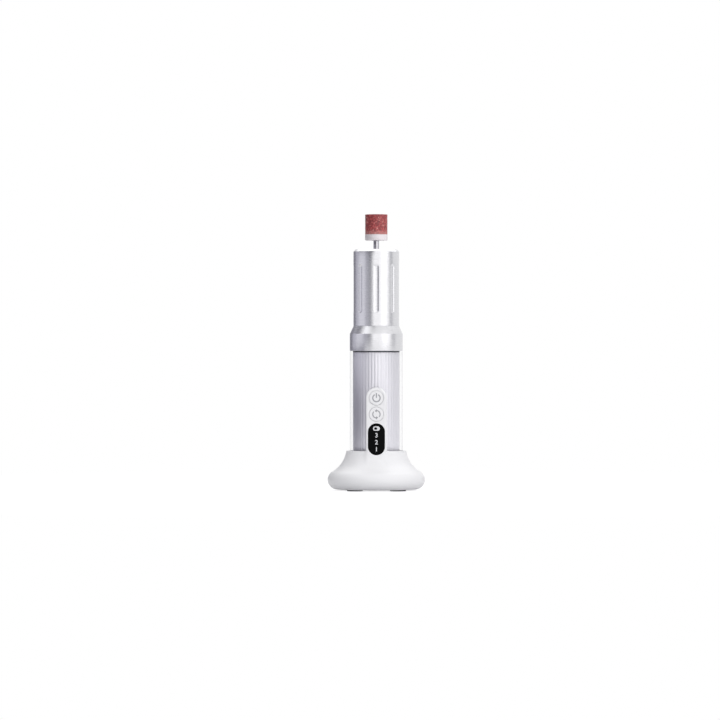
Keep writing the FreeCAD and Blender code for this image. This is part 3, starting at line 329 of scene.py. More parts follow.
def abrasive_paper():
    """Aluminium oxide grit glued to a paper band: red grains, darker glue and pale flecks.
    The grit is about 0.25 mm and is drawn at 0.6 mm, so that its mottling shows. It is paler
    along the lower edge."""
    material = empty_material("red_oxide_grit_glued")
    where = at_scale(material, GRIT)
    grains = add(material, "ShaderNodeTexVoronoi", {"Vector": where, "Scale": 1.0})
    from_middle = grains.outputs["Distance"]
    one = add(material, "ShaderNodeSeparateColor", {"Color": grains.outputs["Color"]})
    tone = add(material, "ShaderNodeValToRGB", {"Fac": one.outputs["Red"]})
    ramp = tone.color_ramp
    ramp.elements[0].color = linear("#7a2023")
    ramp.elements[1].color = linear("#dc918a")
    for spot, code in ((0.3, "#9a282c"), (0.65, "#ba3b3e"), (0.9, "#cf605d")):
        ramp.elements.new(spot).color = linear(code)
    gap = {"Value": from_middle, "From Min": 0.35, "From Max": 0.8, "To Min": 0.0, "To Max": 0.6}
    glue = add(material, "ShaderNodeMapRange", gap).outputs["Result"]
    colours = {0: glue, 6: tone.outputs["Color"], 7: linear("#641b1e")}
    shade = add(material, "ShaderNodeMix", colours, data_type="RGBA").outputs[2]
    place = add(material, "ShaderNodeTexCoord").outputs["Object"]
    height = add(material, "ShaderNodeSeparateXYZ", {"Vector": place}).outputs["Z"]
    # Paler towards the lower edge of the band
    edge = {"From Min": (BAND_Z + 0.6) * MM, "From Max": (BAND_Z + 2.6) * MM}
    fade = {"Value": height, "To Min": 0.45, "To Max": 0.0}
    paler_low_share = add(material, "ShaderNodeMapRange", {**edge, **fade}).outputs["Result"]
    colours = {0: paler_low_share, 6: shade, 7: linear("#e3a39d")}
    paler_low_tone = add(material, "ShaderNodeMix", colours, data_type="RGBA").outputs[2]
    rise = {"Height": from_middle, "Distance": 0.12 * MM}
    bump = add(material, "ShaderNodeBump", rise, invert=True).outputs["Normal"]
    return surfaced(material, Base_Color=paler_low_tone, Roughness=0.6, IOR=1.76, Normal=bump)


def wound_copper():
    """Enamelled copper wire, wound: glossy brown-red strands side by side, 0.4 mm each."""
    material = empty_material("copper_wire_enamelled")
    lay = {"Vector": at_scale(material, 0.4), "Scale": 0.32, "Distortion": 0.6}
    strands = add(material, "ShaderNodeTexWave", lay, bands_direction="Z").outputs["Fac"]
    colours = {0: strands, 6: linear("#6e2f18"), 7: linear("#b4622f")}
    tint = add(material, "ShaderNodeMix", colours, data_type="RGBA")
    bump = add(material, "ShaderNodeBump", {"Height": strands, "Distance": 0.1 * MM})
    return surfaced(
        material,
        Base_Color=tint.outputs[2],
        Roughness=0.3,
        Metallic=1.0,
        Coat_Weight=0.6,
        Normal=bump.outputs["Normal"],
    )


def stacked_steel():
    """Electrical steel sheets, stacked: dull grey edges, 0.5 mm each."""
    material = empty_material("steel_laminations_stacked")
    lay = {"Vector": at_scale(material, 0.5), "Scale": 0.32}
    sheets = add(material, "ShaderNodeTexWave", lay, bands_direction="Z").outputs["Fac"]
    colours = {0: sheets, 6: linear("#55575b"), 7: linear("#8e9195")}
    tint = add(material, "ShaderNodeMix", colours, data_type="RGBA")
    bump = add(material, "ShaderNodeBump", {"Height": sheets, "Distance": 0.05 * MM})
    return surfaced(
        material,
        Base_Color=tint.outputs[2],
        Roughness=0.45,
        Metallic=1.0,
        Normal=bump.outputs["Normal"],
    )


# Mesh helpers. They take millimetres and make meshes in metres


def rounded(corners, steps=5):
    """Closed outline from (x, z, fillet) corners, with an arc where there is a fillet."""
    points = []
    count = len(corners)
    for i, (x, z, fillet) in enumerate(corners):
        here = Vector((x, z))
        if not fillet:
            points.append(here)
            continue
        back = Vector(corners[i - 1][:2]) - here
        ahead = Vector(corners[(i + 1) % count][:2]) - here
        half = back.angle(ahead) / 2
        trim = min(fillet / math.tan(half), 0.49 * back.length, 0.49 * ahead.length)
        middle = (back.normalized() + ahead.normalized()).normalized()
        centre = here + middle * (trim / math.cos(half))
        first = here + back.normalized() * trim - centre
        last = here + ahead.normalized() * trim - centre
        turn = math.atan2(first.x * last.y - first.y * last.x, first.dot(last))
        for step in range(steps + 1):
            points.append(centre + Matrix.Rotation(turn * step / steps, 2) @ first)
    return points


def arc_points(centre_x, centre_z, radius, start_deg, end_deg, steps):
    points = []
    for i in range(steps + 1):
        a = math.radians(start_deg + (end_deg - start_deg) * i / steps)
        points.append((centre_x + radius * math.cos(a), centre_z + radius * math.sin(a)))
    return points


def between(a, b, steps):
    """Points from a up to b, without b."""
    return [tuple(Vector(a).lerp(Vector(b), i / steps)) for i in range(steps)]


def closed_mesh(name, build):
    """Mesh whose faces look outwards, smooth but for its sharp edges."""
    form = bmesh.new()
    build(form)
    bmesh.ops.recalc_face_normals(form, faces=form.faces)
    mesh = bpy.data.meshes.new(name)
    form.to_mesh(mesh)
    form.free()
    return softened(mesh)


def softened(mesh, sharp_deg=35.0):
    mesh.polygons.foreach_set("use_smooth", [True] * len(mesh.polygons))
    mesh.set_sharp_from_angle(angle=math.radians(sharp_deg))
    return mesh


def turned(name, outline, segments, radius_at=None):
    """Mesh turned round Z from a closed outline of (radius, height) points.
    radius_at gives a radius of its own at each (radius, height, angle)."""

    def build(form):
        rows = []
        for r, z in outline:
            if r < 1e-6:
                rows.append([form.verts.new((0, 0, z * MM))] * segments)
                continue
            row = []
            for k in range(segments):
                angle = 2 * math.pi * k / segments
                reach = radius_at(r, z, angle) if radius_at else r
                x, y = reach * math.cos(angle), reach * math.sin(angle)
                row.append(form.verts.new((x * MM, y * MM, z * MM)))
            rows.append(row)
        for low, high in zip(rows, rows[1:] + rows[:1]):
            for k in range(segments):
                ring = (low[k], low[(k + 1) % segments], high[(k + 1) % segments], high[k])
                corners = list(dict.fromkeys(ring))
                if len(corners) > 2:
                    form.faces.new(corners)

    return closed_mesh(name, build)


def lofted(name, sections):
    """Mesh through sections of (points, y): outlines in XZ with equal counts, each at its y."""

    def build(form):
        rows = []
        for points, y in sections:
            rows.append([form.verts.new((x * MM, y * MM, z * MM)) for x, z in points])
        count = len(rows[0])
        for near, far in zip(rows, rows[1:]):
            for k in range(count):
                form.faces.new((near[k], near[(k + 1) % count], far[(k + 1) % count], far[k]))
        form.faces.new(rows[0])
        form.faces.new(rows[-1][::-1])

    return closed_mesh(name, build)


def stadium(width, height, z, steps=24):
    """Outline of a stadium at height z, upright or on its long side."""
    r = min(width, height) / 2
    dx, dz = width / 2 - r, height / 2 - r
    points = []
    for start, cx, cz in ((0, dx, dz), (90, -dx, dz), (180, -dx, -dz), (270, dx, -dz)):
        points += arc_points(cx, z + cz, r, start, start + 90, steps)
    return points


def shown(name, mesh, material=None):
    piece = bpy.data.objects.new(name, mesh)
    bpy.context.scene.collection.objects.link(piece)
    if material:
        piece.data.materials.clear()
        piece.data.materials.append(material)
    return piece


def joined(name, meshes, places):
    """One mesh from meshes, each at its place."""
    form = bmesh.new()
    for mesh, place in zip(meshes, places):
        copy = mesh.copy()
        copy.transform(place)
        form.from_mesh(copy)
        bpy.data.meshes.remove(copy)
    whole = bpy.data.meshes.new(name)
    form.to_mesh(whole)
    form.free()
    return softened(whole)


def final_mesh(piece):
    """Mesh of a piece with its modifiers, or of a text."""
    bpy.context.view_layer.update()
    state = bpy.context.evaluated_depsgraph_get()
    return bpy.data.meshes.new_from_object(piece.evaluated_get(state))


def cut(piece, *cutters):
    """Cuts meshes out of a piece, for good, and leaves it without a material."""
    tools = [shown("cutter", mesh) for mesh in cutters]
    for tool in tools:
        step = piece.modifiers.new("cut", "BOOLEAN")
        step.object = tool
        step.operation = "DIFFERENCE"
        step.solver = "MANIFOLD"
    whole = final_mesh(piece)
    piece.modifiers.clear()
    piece.data = whole
    for tool in tools:
        bpy.data.objects.remove(tool)
    piece.data.materials.clear()
    softened(piece.data)
    return piece


def seat(piece, body, slot, *nodes):
    """Puts a finished piece on its body and in the place of its nodes, which it hides. Its slot is
    not used.
    """
    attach(piece, body)
    if nodes:
        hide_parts(*nodes)
    return piece


# The housing: one moulding of foot and control tongue, worked out as a field and skinned


def rounded_max(a, b, radius):
    """Where two forms overlap, with their common edge rounded."""
    inner = np.minimum(np.maximum(a, b) + radius, 0)
    return inner + np.hypot(np.maximum(a + radius, 0), np.maximum(b + radius, 0)) - radius


def housing_field(x, y, z):
    """Below zero inside the housing: the foot and the tongue, with a hollow fillet between them.
    Below the rim, the tongue's long edges grow rounder and its fillet wider, so that it melts
    into the foot."""
    r = np.hypot(x, y)
    bulge_r, bulge_z, bulge_radius = BULGE
    flare_r, flare_z, flare_radius = FLARE
    to_bulge = np.hypot(np.maximum(r - bulge_r, 0), z - bulge_z) - bulge_radius
    to_flare = flare_radius - np.hypot(r - flare_r, z - flare_z)
    beside = (r - bulge_r) * (flare_z - bulge_z) - (z - bulge_z) * (flare_r - bulge_r)
    side = np.where((beside < 0) & (z > bulge_z), to_flare, to_bulge)
    foot = rounded_max(side, z - RIM_Z, RIM_EDGE)
    arch = np.hypot(x, np.maximum(z - POWER_Z, 0)) - TONGUE_HALF
    edge = EDGE_ROUND + EDGE_ROUND_MORE * np.clip((RIM_Z + 1.4 - z) / 3.6, 0, 1)
    tongue = rounded_max(arch, FACE_Y - y, edge)
    tongue = np.maximum(tongue, np.maximum(y + TUBE_IN_R - TONGUE_INSIDE, TONGUE_LOW_Z - z))
    beside_window = np.clip((np.abs(x) - 3.6) / 2.0, 0, 1)
    below_rim = np.clip((RIM_Z - z) / 1.5, 0, 1)
    fillet = FILLET + FILLET_MORE * beside_window * below_rim
    near = np.maximum(fillet - np.abs(foot - tongue), 0) / fillet
    return np.minimum(foot, tongue) - near * near * fillet / 4


def skinned(name, field, low, high, step):
    """Mesh of the skin between a field's negative and positive side, on a grid of cubes."""
    spans = [np.arange(a, b, step) for a, b in zip(low, high)]
    inside = field(*np.meshgrid(*spans, indexing="ij")) < 0
    shape = [n - 1 for n in inside.shape]
    full = np.zeros(shape, np.int8)
    for i, j, k in itertools.product((0, 1), repeat=3):
        full += inside[i : i + shape[0], j : j + shape[1], k : k + shape[2]]
    mixed = (full > 0) & (full < 8)
    number = np.full(shape, -1)
    number[mixed] = np.arange(np.count_nonzero(mixed))
    points = np.argwhere(mixed) * step + np.array(low) + step / 2
    small = step / 20
    for _ in range(5):
        here = field(*points.T)
        slopes = []
        for d in np.eye(3) * small:
            slopes.append((field(*(points + d).T) - field(*(points - d).T)) / (2 * small))
        slope = np.stack(slopes, 1)
        points -= slope * (here / np.maximum((slope**2).sum(1), 0.1))[:, None]
    faces = []
    for axis, (u, v) in enumerate(((1, 2), (2, 0), (0, 1))):
        start = np.take(inside, range(shape[axis]), axis)
        end = np.take(inside, range(1, shape[axis] + 1), axis)
        hit = np.argwhere(start != end)
        within = (hit[:, u] > 0) & (hit[:, v] > 0) & (hit[:, u] < shape[u]) & (hit[:, v] < shape[v])
        hit = hit[within]
        around = []
        for du, dv in ((1, 1), (0, 1), (0, 0), (1, 0)):
            cell = hit.copy()
            cell[:, u] -= du
            cell[:, v] -= dv
            around.append(number[tuple(cell.T)])
        quads = np.stack(around, 1)
        outward = start[tuple(hit.T)]
        quads[~outward] = quads[~outward][:, ::-1]
        faces.append(quads)
    mesh = bpy.data.meshes.new(name)
    mesh.from_pydata((points * MM).tolist(), [], np.concatenate(faces).tolist())
    return softened(mesh)


def housing_bore():
    """Cutter for the hollow under the ledge, the throat and the tube's socket."""
    bulge_r, bulge_z, bulge_radius = BULGE
    flare_r, flare_z, flare_radius = FLARE
    meet = math.degrees(math.atan2(flare_z - bulge_z, flare_r - bulge_r))
    inner = flare_radius + WALL
    top = 180 + math.degrees(math.acos((flare_r - RIM_R) / inner))
    outline = [(0, -1), (21.6, -1), (21.6, 2.9)]
    outline += arc_points(bulge_r, bulge_z, bulge_radius - WALL, -90, meet, 16)
    outline += arc_points(flare_r, flare_z, inner, 180 + meet, top, 24)[1:]
    outline += [(RIM_R, 7.5), (8.6, 7.5), (8.6, LEDGE_Z)]
    outline += [(SOCKET_R, LEDGE_Z), (SOCKET_R, 60), (0, 60)]
    return turned("bore", outline, 192)


def key_hole(z):
    """Cutter for a key's hole, with a small bevel at its mouth and the flange's pocket behind."""
    outline = [(0, -1), (KEY_HOLE_R + 1.09, -1), (KEY_HOLE_R, 0.09), (KEY_HOLE_R, 2.7)]
    outline += [(KEY_POCKET_R, 2.7), (KEY_POCKET_R, 7), (0, 7)]
    mesh = turned("key_hole", outline, 96)
    mesh.transform(Matrix.Translation((0, FACE_Y * MM, z * MM)) @ AXIS_TURN)
    return mesh


def around_window(more):
    """Outline of the window, larger all round by half of more."""
    width, height = WINDOW_SIZE
    return stadium(width + more, height + more, WINDOW_Z)


def make_housing():
    step = 0.42
    skin = skinned("housing", housing_field, (-28.3, -28.3, 0.05), (28.8, 28.8, 60.0), step)
    way = [
        (around_window(0.1), FACE_Y - 2),
        (around_window(0.1), FACE_Y + 1.4),
        (around_window(-1.0), FACE_Y + 1.4),
        (around_window(-1.0), -11),
    ]
    port = [
        (stadium(*PORT_WAY, PORT_Z), 18.8),
        (stadium(*PORT_WAY, PORT_Z), 27.0),
        (stadium(*PORT_MOUTH, PORT_Z), 27.9),
    ]
    housing = cut(
        shown("housing", skin),
        housing_bore(),
        key_hole(POWER_Z),
        key_hole(SPEED_Z),
        lofted("window_way", way),
        lofted("port", port),
    )
    housing.data.materials.append(WHITE_ABS)
    seat(housing, "grinder", "white_plastic", "base_housing")


def slot_outline(half, foot_z):
    """Outline of the slot behind the tongue: straight sides and a round top."""
    return arc_points(0, POWER_Z, half, 0, 180, 32) + [(-half, foot_z), (half, foot_z)]


def make_slot_frame():
    """Wall round the opening behind the tongue, which closes the gap to the tube's slot."""
    outer = slot_outline(SLOT_HALF - 0.1, 9.6)
    inner = slot_outline(SLOT_HALF - 0.6, 8.0)
    wall = lofted("slot_frame", [(outer, FRAME_FRONT_Y), (outer, FRAME_BACK_Y)])
    way = lofted("slot_way", [(inner, FRAME_FRONT_Y - 1.6), (inner, FRAME_BACK_Y + 1.9)])
    slot_frame = cut(shown("slot_frame", wall), way)
    slot_frame.data.materials.append(WHITE_ABS)
    seat(slot_frame, "grinder", "white_plastic")


def slot_cutter():
    """Cutter for the slot in the front of the tube and the sleeve."""
    outline = slot_outline(SLOT_HALF, 5.0)
    return lofted("slot", [(outline, -30), (outline, 0)])


def make_tube():
    outline = rounded(
        [
            (TUBE_IN_R, LEDGE_Z, 0),
            (TUBE_R, LEDGE_Z, 0.2),
            (TUBE_R, TUBE_TOP_Z, 0.2),
            (TUBE_IN_R, TUBE_TOP_Z, 0.2),
        ]
    )
    tube = shown("clear_tube_skin", turned("tube", outline, 192))
    cut(tube, slot_cutter())
    tube.data.materials.append(clear_acrylic())
    seat(tube, "grinder", "clear_acrylic", "clear_tube")


def rib_radius(r, z, angle):
    """Outside radius over the ribs: round crests, sharp valleys."""
    if r < SLEEVE_R - RIB_DEPTH:
        return r
    share = (angle * RIB_COUNT / (2 * math.pi)) % 1.0
    return r - RIB_DEPTH * (1 - math.sin(math.pi * share))


def make_sleeve():
    outline = rounded(
        [
            (SLEEVE_IN_R, LEDGE_Z, 0),
            (SLEEVE_R, LEDGE_Z, 0.15),
            (SLEEVE_R, SLEEVE_TOP_Z, 0.15),
            (SLEEVE_IN_R, SLEEVE_TOP_Z, 0),
        ],
        2,
    )
    sleeve = shown("sleeve_of_ribs", turned("sleeve", outline, RIB_COUNT * 12, rib_radius))
    cut(sleeve, slot_cutter())
    sleeve.data.materials.append(DRAWN_ALUMINIUM)
    seat(sleeve, "grinder", "silver_sleeve", "ribbed_sleeve")


def groove_radius(r, z, angle):
    """Outside radius of the nose over its grooves, which a ball-ended cutter leaves hollow."""
    if r < NOSE_R - 1e-6:
        return r
    pitch = 2 * math.pi / GROOVE_COUNT
    across = ((angle + math.pi / 2 + pitch / 2) % pitch - pitch / 2) * NOSE_R
    along = max(abs(z - GROOVE_Z) - GROOVE_HALF_L, 0.0)
    away = math.hypot(across, along) / GROOVE_HALF_W
    if away >= 1:
        return r
    return r - GROOVE_DEPTH * (1 - away * away)


def make_nose():
    """Nose cap, with close rows of faces over the grooves' round ends and a lip for the seal."""
    ends, flats = 15.4, GROOVE_HALF_L - 0.5
    outline = [(NOSE_R - 0.12, SHOULDER_TOP_Z), (NOSE_R, SHOULDER_TOP_Z + 0.12)]
    for low, high, rows in ((-ends, -flats, 24), (-flats, flats, 12), (flats, ends, 24)):
        outline += between((NOSE_R, GROOVE_Z + low), (NOSE_R, GROOVE_Z + high), rows)
    outline += [(NOSE_R, GROOVE_Z + ends)]
    edge, hole, roof = 0.3, 2.6, 134.8
    seal, lip, lip_low = 5.0, 6.0, 133.4
    outline += arc_points(NOSE_R - edge, NOSE_TOP_Z - NOSE_BEVEL, edge, 0, 45, 3)
    outline += arc_points(NOSE_R - NOSE_BEVEL, NOSE_TOP_Z - edge, edge, 45, 90, 3)
    outline += arc_points(hole + edge, NOSE_TOP_Z - edge, edge, 90, 180, 4)
    outline += [(hole, roof), (seal, roof), (seal, lip_low), (lip, lip_low), (lip, roof)]
    outline += [(NOSE_IN_R, roof), (NOSE_IN_R, SHOULDER_TOP_Z)]
    mesh = turned("nose", outline, GROOVE_COUNT * 64, groove_radius)
    nose = shown("nose", mesh, TURNED_ALUMINIUM)
    seat(nose, "grinder", "silver_head", "nose_cap")


def make_shoulder():
    outline = rounded(
        [
            (NOSE_IN_R, TUBE_TOP_Z, 0),
            (RING_R, TUBE_TOP_Z, 0.15),
            (RING_R, RING_TOP_Z, 0.2),
            (NOSE_R, SHOULDER_TOP_Z, 0.06),
            (NOSE_IN_R, SHOULDER_TOP_Z, 0),
        ]
    )
    shoulder = shown("shoulder_ring", turned("shoulder", outline, 256), TURNED_ALUMINIUM)
    seat(shoulder, "grinder", "silver_head", "collar_ring")


# Keys, their printed marks, and the window


def make_key(name, z, body, node):
    """Round key with a soft edge, the flange that holds it in, and the stem behind."""
    edge = 0.35
    outline = [(0, 0)] + arc_points(KEY_R - edge, edge, edge, -90, 0, 8)
    outline += [(KEY_R, 2.75), (KEY_FLANGE_R, 2.75), (KEY_FLANGE_R, 3.55)]
    outline += [(1.5, 3.55), (1.5, 5.0), (0, 5.0)]
    mesh = turned(name, outline, 128)
    mesh.transform(Matrix.Translation((0, FACE_Y * MM, z * MM)) @ AXIS_TURN)
    return seat(shown(name, mesh, WHITE_ABS), body, "white_plastic", node)


def stroke(points, width):
    """Outline of a line of even width with round ends."""
    line = [Vector(p) for p in points]
    left, right = [], []
    for i, p in enumerate(line):
        way = (line[min(i + 1, len(line) - 1)] - line[max(i - 1, 0)]).normalized()
        across = Vector((-way.y, way.x)) * width / 2
        left.append(p + across)
        right.append(p - across)

    def cap(middle, start):
        turns = [Matrix.Rotation(-math.pi * k / 6, 2) for k in range(1, 6)]
        return [middle + turn @ (start - middle) for turn in turns]

    return left + cap(line[-1], left[-1]) + right[::-1] + cap(line[0], right[0])


def sign_plate(name, outline):
    """Thin plate in the front face, a hair proud of it."""
    return lofted(name, [(outline, SIGN_TOP_Y), (outline, SIGN_FOOT_Y)])


def print_on_key(name, outlines, body):
    plates = [sign_plate(name, outline) for outline in outlines]
    whole = joined(name, plates, [Matrix.Identity(4)] * len(plates))
    seat(shown(name, whole, KEY_INK), body, "grey_plastic")


def make_key_marks():
    """Power sign, and two arrows that chase each other round."""
    ring = arc_points(0, POWER_Z, SIGN_R, 125, 415, 40)
    bar = [(0, POWER_Z + 0.45), (0, POWER_Z + 2.55)]
    print_on_key("power_mark", [stroke(ring, 0.72), stroke(bar, 0.72)], "power_key")
    arrows = []
    for start in (-38, 142):
        arrows.append(stroke(arc_points(0, SPEED_Z, SIGN_R, start, start + 122, 24), 0.62))
        end = math.radians(start + 124)
        tip = math.radians(start + 158)
        head = ((1.1, end), (3.0, end), (SIGN_R, tip))
        arrows.append([(r * math.cos(a), SPEED_Z + r * math.sin(a)) for r, a in head])
    print_on_key("speed_mark", arrows, "speed_key")


def make_window():
    sections = [
        (around_window(-0.3), FACE_Y),
        (around_window(-0.12), FACE_Y + 0.04),
        (around_window(0), FACE_Y + 0.16),
        (around_window(0), FACE_Y + 1.4),
    ]
    window = shown("window", softened(lofted("window", sections), 10), BLACK_ACRYLIC)
    seat(window, "grinder", "black_window", "display_window")


def make_window_marks():
    """Battery sign and three steps of speed."""
    plate = sign_plate("battery", stadium(3.9, 2.5, BATTERY_Z, 10))
    hollow = [(x - 0.45, z) for x, z in stadium(1.8, 1.4, BATTERY_Z, 10)]
    way = lofted("hollow", [(hollow, FACE_Y - 1), (hollow, FACE_Y + 1)])
    battery = cut(shown("battery_mark", plate), way)
    battery.data.materials.append(PALE_SEGMENTS)
    seat(battery, "grinder", "white_plastic")
    upright = Matrix.Rotation(math.pi / 2, 4, "X")
    for digit, height in DIGIT_HEIGHTS.items():
        text = bpy.data.curves.new("digit_" + digit, "FONT")
        text.body = digit
        text.size = DIGIT_SIZE * MM
        text.extrude = 0.04 * MM
        text.offset = 0.05 * MM
        text.align_x = "CENTER"
        text.align_y = "CENTER"
        shape = shown("text", text)
        mesh = final_mesh(shape)
        bpy.data.objects.remove(shape)
        mesh.transform(Matrix.Translation((0, FACE_Y * MM, height * MM)) @ upright)
        mark = shown("speed_step_" + digit, mesh, PALE_SEGMENTS)
        seat(mark, "grinder", "white_plastic")


# The drum and its spindle


def grit_radius(r, z, angle):
    """Outside radius of the band over its grains."""
    if r < BAND_R - 0.2:
        return r
    place = Vector((BAND_R * math.cos(angle), BAND_R * math.sin(angle), z)) / GRIT
    height = max(0.0, 1.0 - noise.voronoi(place)[0][0] * 1.35)
    return r - GRIT_DEPTH * (1 - height)


def make_band():
    """Band of grit, with rows of faces close enough to carry the grains."""
    rows = between((BAND_R, BAND_Z + 0.1), (BAND_R, DRUM_TOP_Z - 0.1), 70)
    outline = [(BAND_IN_R, BAND_Z), (BAND_R - 0.12, BAND_Z)] + rows
    outline += [(BAND_R, DRUM_TOP_Z - 0.1), (BAND_R - 0.12, DRUM_TOP_Z), (BAND_IN_R, DRUM_TOP_Z)]
    band = shown("grit_band", turned("band", outline, 256, grit_radius), abrasive_paper())
    softened(band.data, 60)
    seat(band, "band", "red_abrasive", "sanding_band")


def make_hub():
    """Drum with the flange under the band, a sunk seat for its screw and a hole for the spindle."""
    corners = [
        (1.62, DRUM_Z, 0.1),
        (BAND_R, DRUM_Z, 0.3),
        (BAND_R, BAND_Z, 0.08),
        (HUB_R, BAND_Z, 0),
        (HUB_R, HUB_TOP_Z, 0.25),
        (2.65, HUB_TOP_Z, 0.1),
        (2.65, SCREW_SEAT_Z, 0),
        (THREAD_R, SCREW_SEAT_Z, 0),
        (THREAD_R, SPINDLE_TOP_Z + 0.05, 0),
        (1.62, SPINDLE_TOP_Z + 0.05, 0),
    ]
    hub = shown("hub", turned("hub", rounded(corners), 160), WHITE_NYLON)
    seat(hub, "bit", "hub_plastic", "drum_hub")


def make_spindle():
    """Spindle, hollow at the top for the drum's screw."""
    corners = [
        (0, 120.4, 0),
        (MANDREL_R, 120.4, 0.25),
        (MANDREL_R, SPINDLE_TOP_Z, 0.1),
        (THREAD_R, SPINDLE_TOP_Z, 0),
        (THREAD_R, 145.4, 0),
        (0, 145.4, 0),
    ]
    spindle = shown("spindle", turned("spindle", rounded(corners), 96), GROUND_STEEL)
    seat(spindle, "bit", "spindle_steel", "mandrel")


def bar_cutter(length, width, low_z, high_z, angle_deg=0.0):
    """Upright block round the Z axis, for screw slots."""
    half = length / 2
    outline = [(-half, low_z), (half, low_z), (half, high_z), (-half, high_z)]
    mesh = lofted("bar", [(outline, -width / 2), (outline, width / 2)])
    mesh.transform(Matrix.Rotation(math.radians(angle_deg), 4, "Z"))
    return mesh


def make_drum_screw():
    corners = [
        (0, 145.8, 0),
        (0.9, 145.8, 0.2),
        (0.9, SCREW_SEAT_Z, 0),
        (2.6, SCREW_SEAT_Z, 0),
        (2.6, 155.1, 0.3),
        (0, 155.1, 0),
    ]
    blank = shown("drum_screw_slotted", turned("drum_screw", rounded(corners), 96))
    screw = cut(blank, bar_cutter(6.0, 0.7, 154.4, 156.0))
    screw.data.materials.append(ZINC_STEEL)
    seat(screw, "bit", "screw_steel", "drum_screw")


# Underside


def at_places(places):
    return [Matrix.Translation((x * MM, y * MM, 0)) for x, y in places]


def make_pads():
    corners = [(0, 0, 0), (PAD_R, 0, 0.25), (PAD_R, 1.5, 0), (0, 1.5, 0)]
    pad = turned("pad", rounded(corners), 96)
    whole = joined("pads", [pad] * len(PAD_PLACES), at_places(PAD_PLACES))
    pads = shown("foot_pads", whole, DARK_RUBBER)
    seat(pads, "grinder", "dark_rubber", "rubber_feet")


def make_base_screws():
    """Screws of the bottom cover, heads down, with a cross in each head."""
    corners = [
        (0, 0.95, 0),
        (1.9, 0.95, 0.35),
        (1.9, 2.1, 0),
        (1.0, 2.1, 0),
        (1.0, 9.0, 0.3),
        (0, 9.0, 0),
    ]
    screw = shown("screw", turned("screw", rounded(corners), 64))
    cut(screw, bar_cutter(2.2, 0.5, 0.0, 1.6), bar_cutter(2.2, 0.5, 0.0, 1.6, 90.0))
    mesh = joined("base_screws", [screw.data] * len(SCREW_PLACES), at_places(SCREW_PLACES))
    bpy.data.objects.remove(screw)
    screws = shown("plate_screws", mesh, ZINC_STEEL)
    seat(screws, "grinder", "screw_steel", "base_screws")


# CAD nodes that keep their shape, each with its material
KEPT_NODES = {
    "base_plate": WHITE_ABS,
    # The gasket's dark grey partly paints the shadow of the gap under the shoulder ring
    "sleeve_gasket": GASKET_RUBBER_AND_GAP_SHADE,
    "inner_chassis": GREY_ABS,
    "chassis_screws": ZINC_STEEL,
    "control_board": BOARD,
    "board_screws": ZINC_STEEL,
    "display_module": LCD_BODY,
    "power_plunger": GREY_ABS,
    "speed_plunger": GREY_ABS,
    "power_switch": BLACK_NYLON,
    "speed_switch": BLACK_NYLON,
    "battery_cell": CELL_WRAP,
    "battery_tabs": NICKEL,
    "dust_seal": FELT,
    "motor_can": PRESSED_STEEL,
    "motor_end_bell": BLACK_NYLON,
    "motor_bushings": BRONZE,
    "motor_magnets": FERRITE,
    "motor_brushes": CARBON,
    "motor_terminals": BRASS,
    "motor_bracket": PRESSED_STEEL,
    "motor_screws": ZINC_STEEL,
    "motor_shaft": GROUND_STEEL,
    "rotor_core": stacked_steel(),
    "rotor_windings": wound_copper(),
    "commutator": COPPER,
    "chuck_body": GROUND_STEEL,
    "collet": GROUND_STEEL,
    "chuck_nut": ZINC_STEEL,
    "usb_socket": NICKEL,
    "charge_board": BOARD,
    "charge_board_screws": ZINC_STEEL,
    "motor_leads": WIRE_SHEATH,
    "charge_leads": WIRE_SHEATH,
}


def finish_kept_nodes():
    for name, material in KEPT_NODES.items():
        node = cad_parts[name]
        if not node.material_slots:
            node.data.materials.append(material)
        for place in node.material_slots:
            place.material = material


# Studio: a pale room. A broad lamp with a brighter core hangs at the front right. One above and a
# small one high on the left show only in the metal, and so do the grey cards round the object.
AMBIENT = 0.66
FLOOR_GLOW = 0.75
FLOOR_HALF = 4.0
LAMP_AIM = Vector((0, 0, 0.08))


def seen_rays(material):
    """1 for what the camera sees, straight, mirrored or through glass, and 0 for other light."""
    path = add(material, "ShaderNodeLightPath")
    seen = path.outputs["Is Camera Ray"]
    for other in ("Is Glossy Ray", "Is Transmission Ray"):
        either = {0: seen, 1: path.outputs[other]}
        seen = add(material, "ShaderNodeMath", either, operation="MAXIMUM").outputs[0]
    return seen


def set_studio():
    scene = bpy.context.scene
    scene.view_settings.view_transform = "Standard"
    world = bpy.data.worlds.new("studio")
    scene.world = world
    world.use_nodes = True
    world.node_tree.nodes.clear()
    levels = {"Value": seen_rays(world), "To Min": AMBIENT, "To Max": 1.0}
    strength = add(world, "ShaderNodeMapRange", levels).outputs["Result"]
    sky = add(world, "ShaderNodeBackground", {"Color": (1, 1, 1, 1), "Strength": strength})
    add(world, "ShaderNodeOutputWorld", {"Surface": sky.outputs[0]})


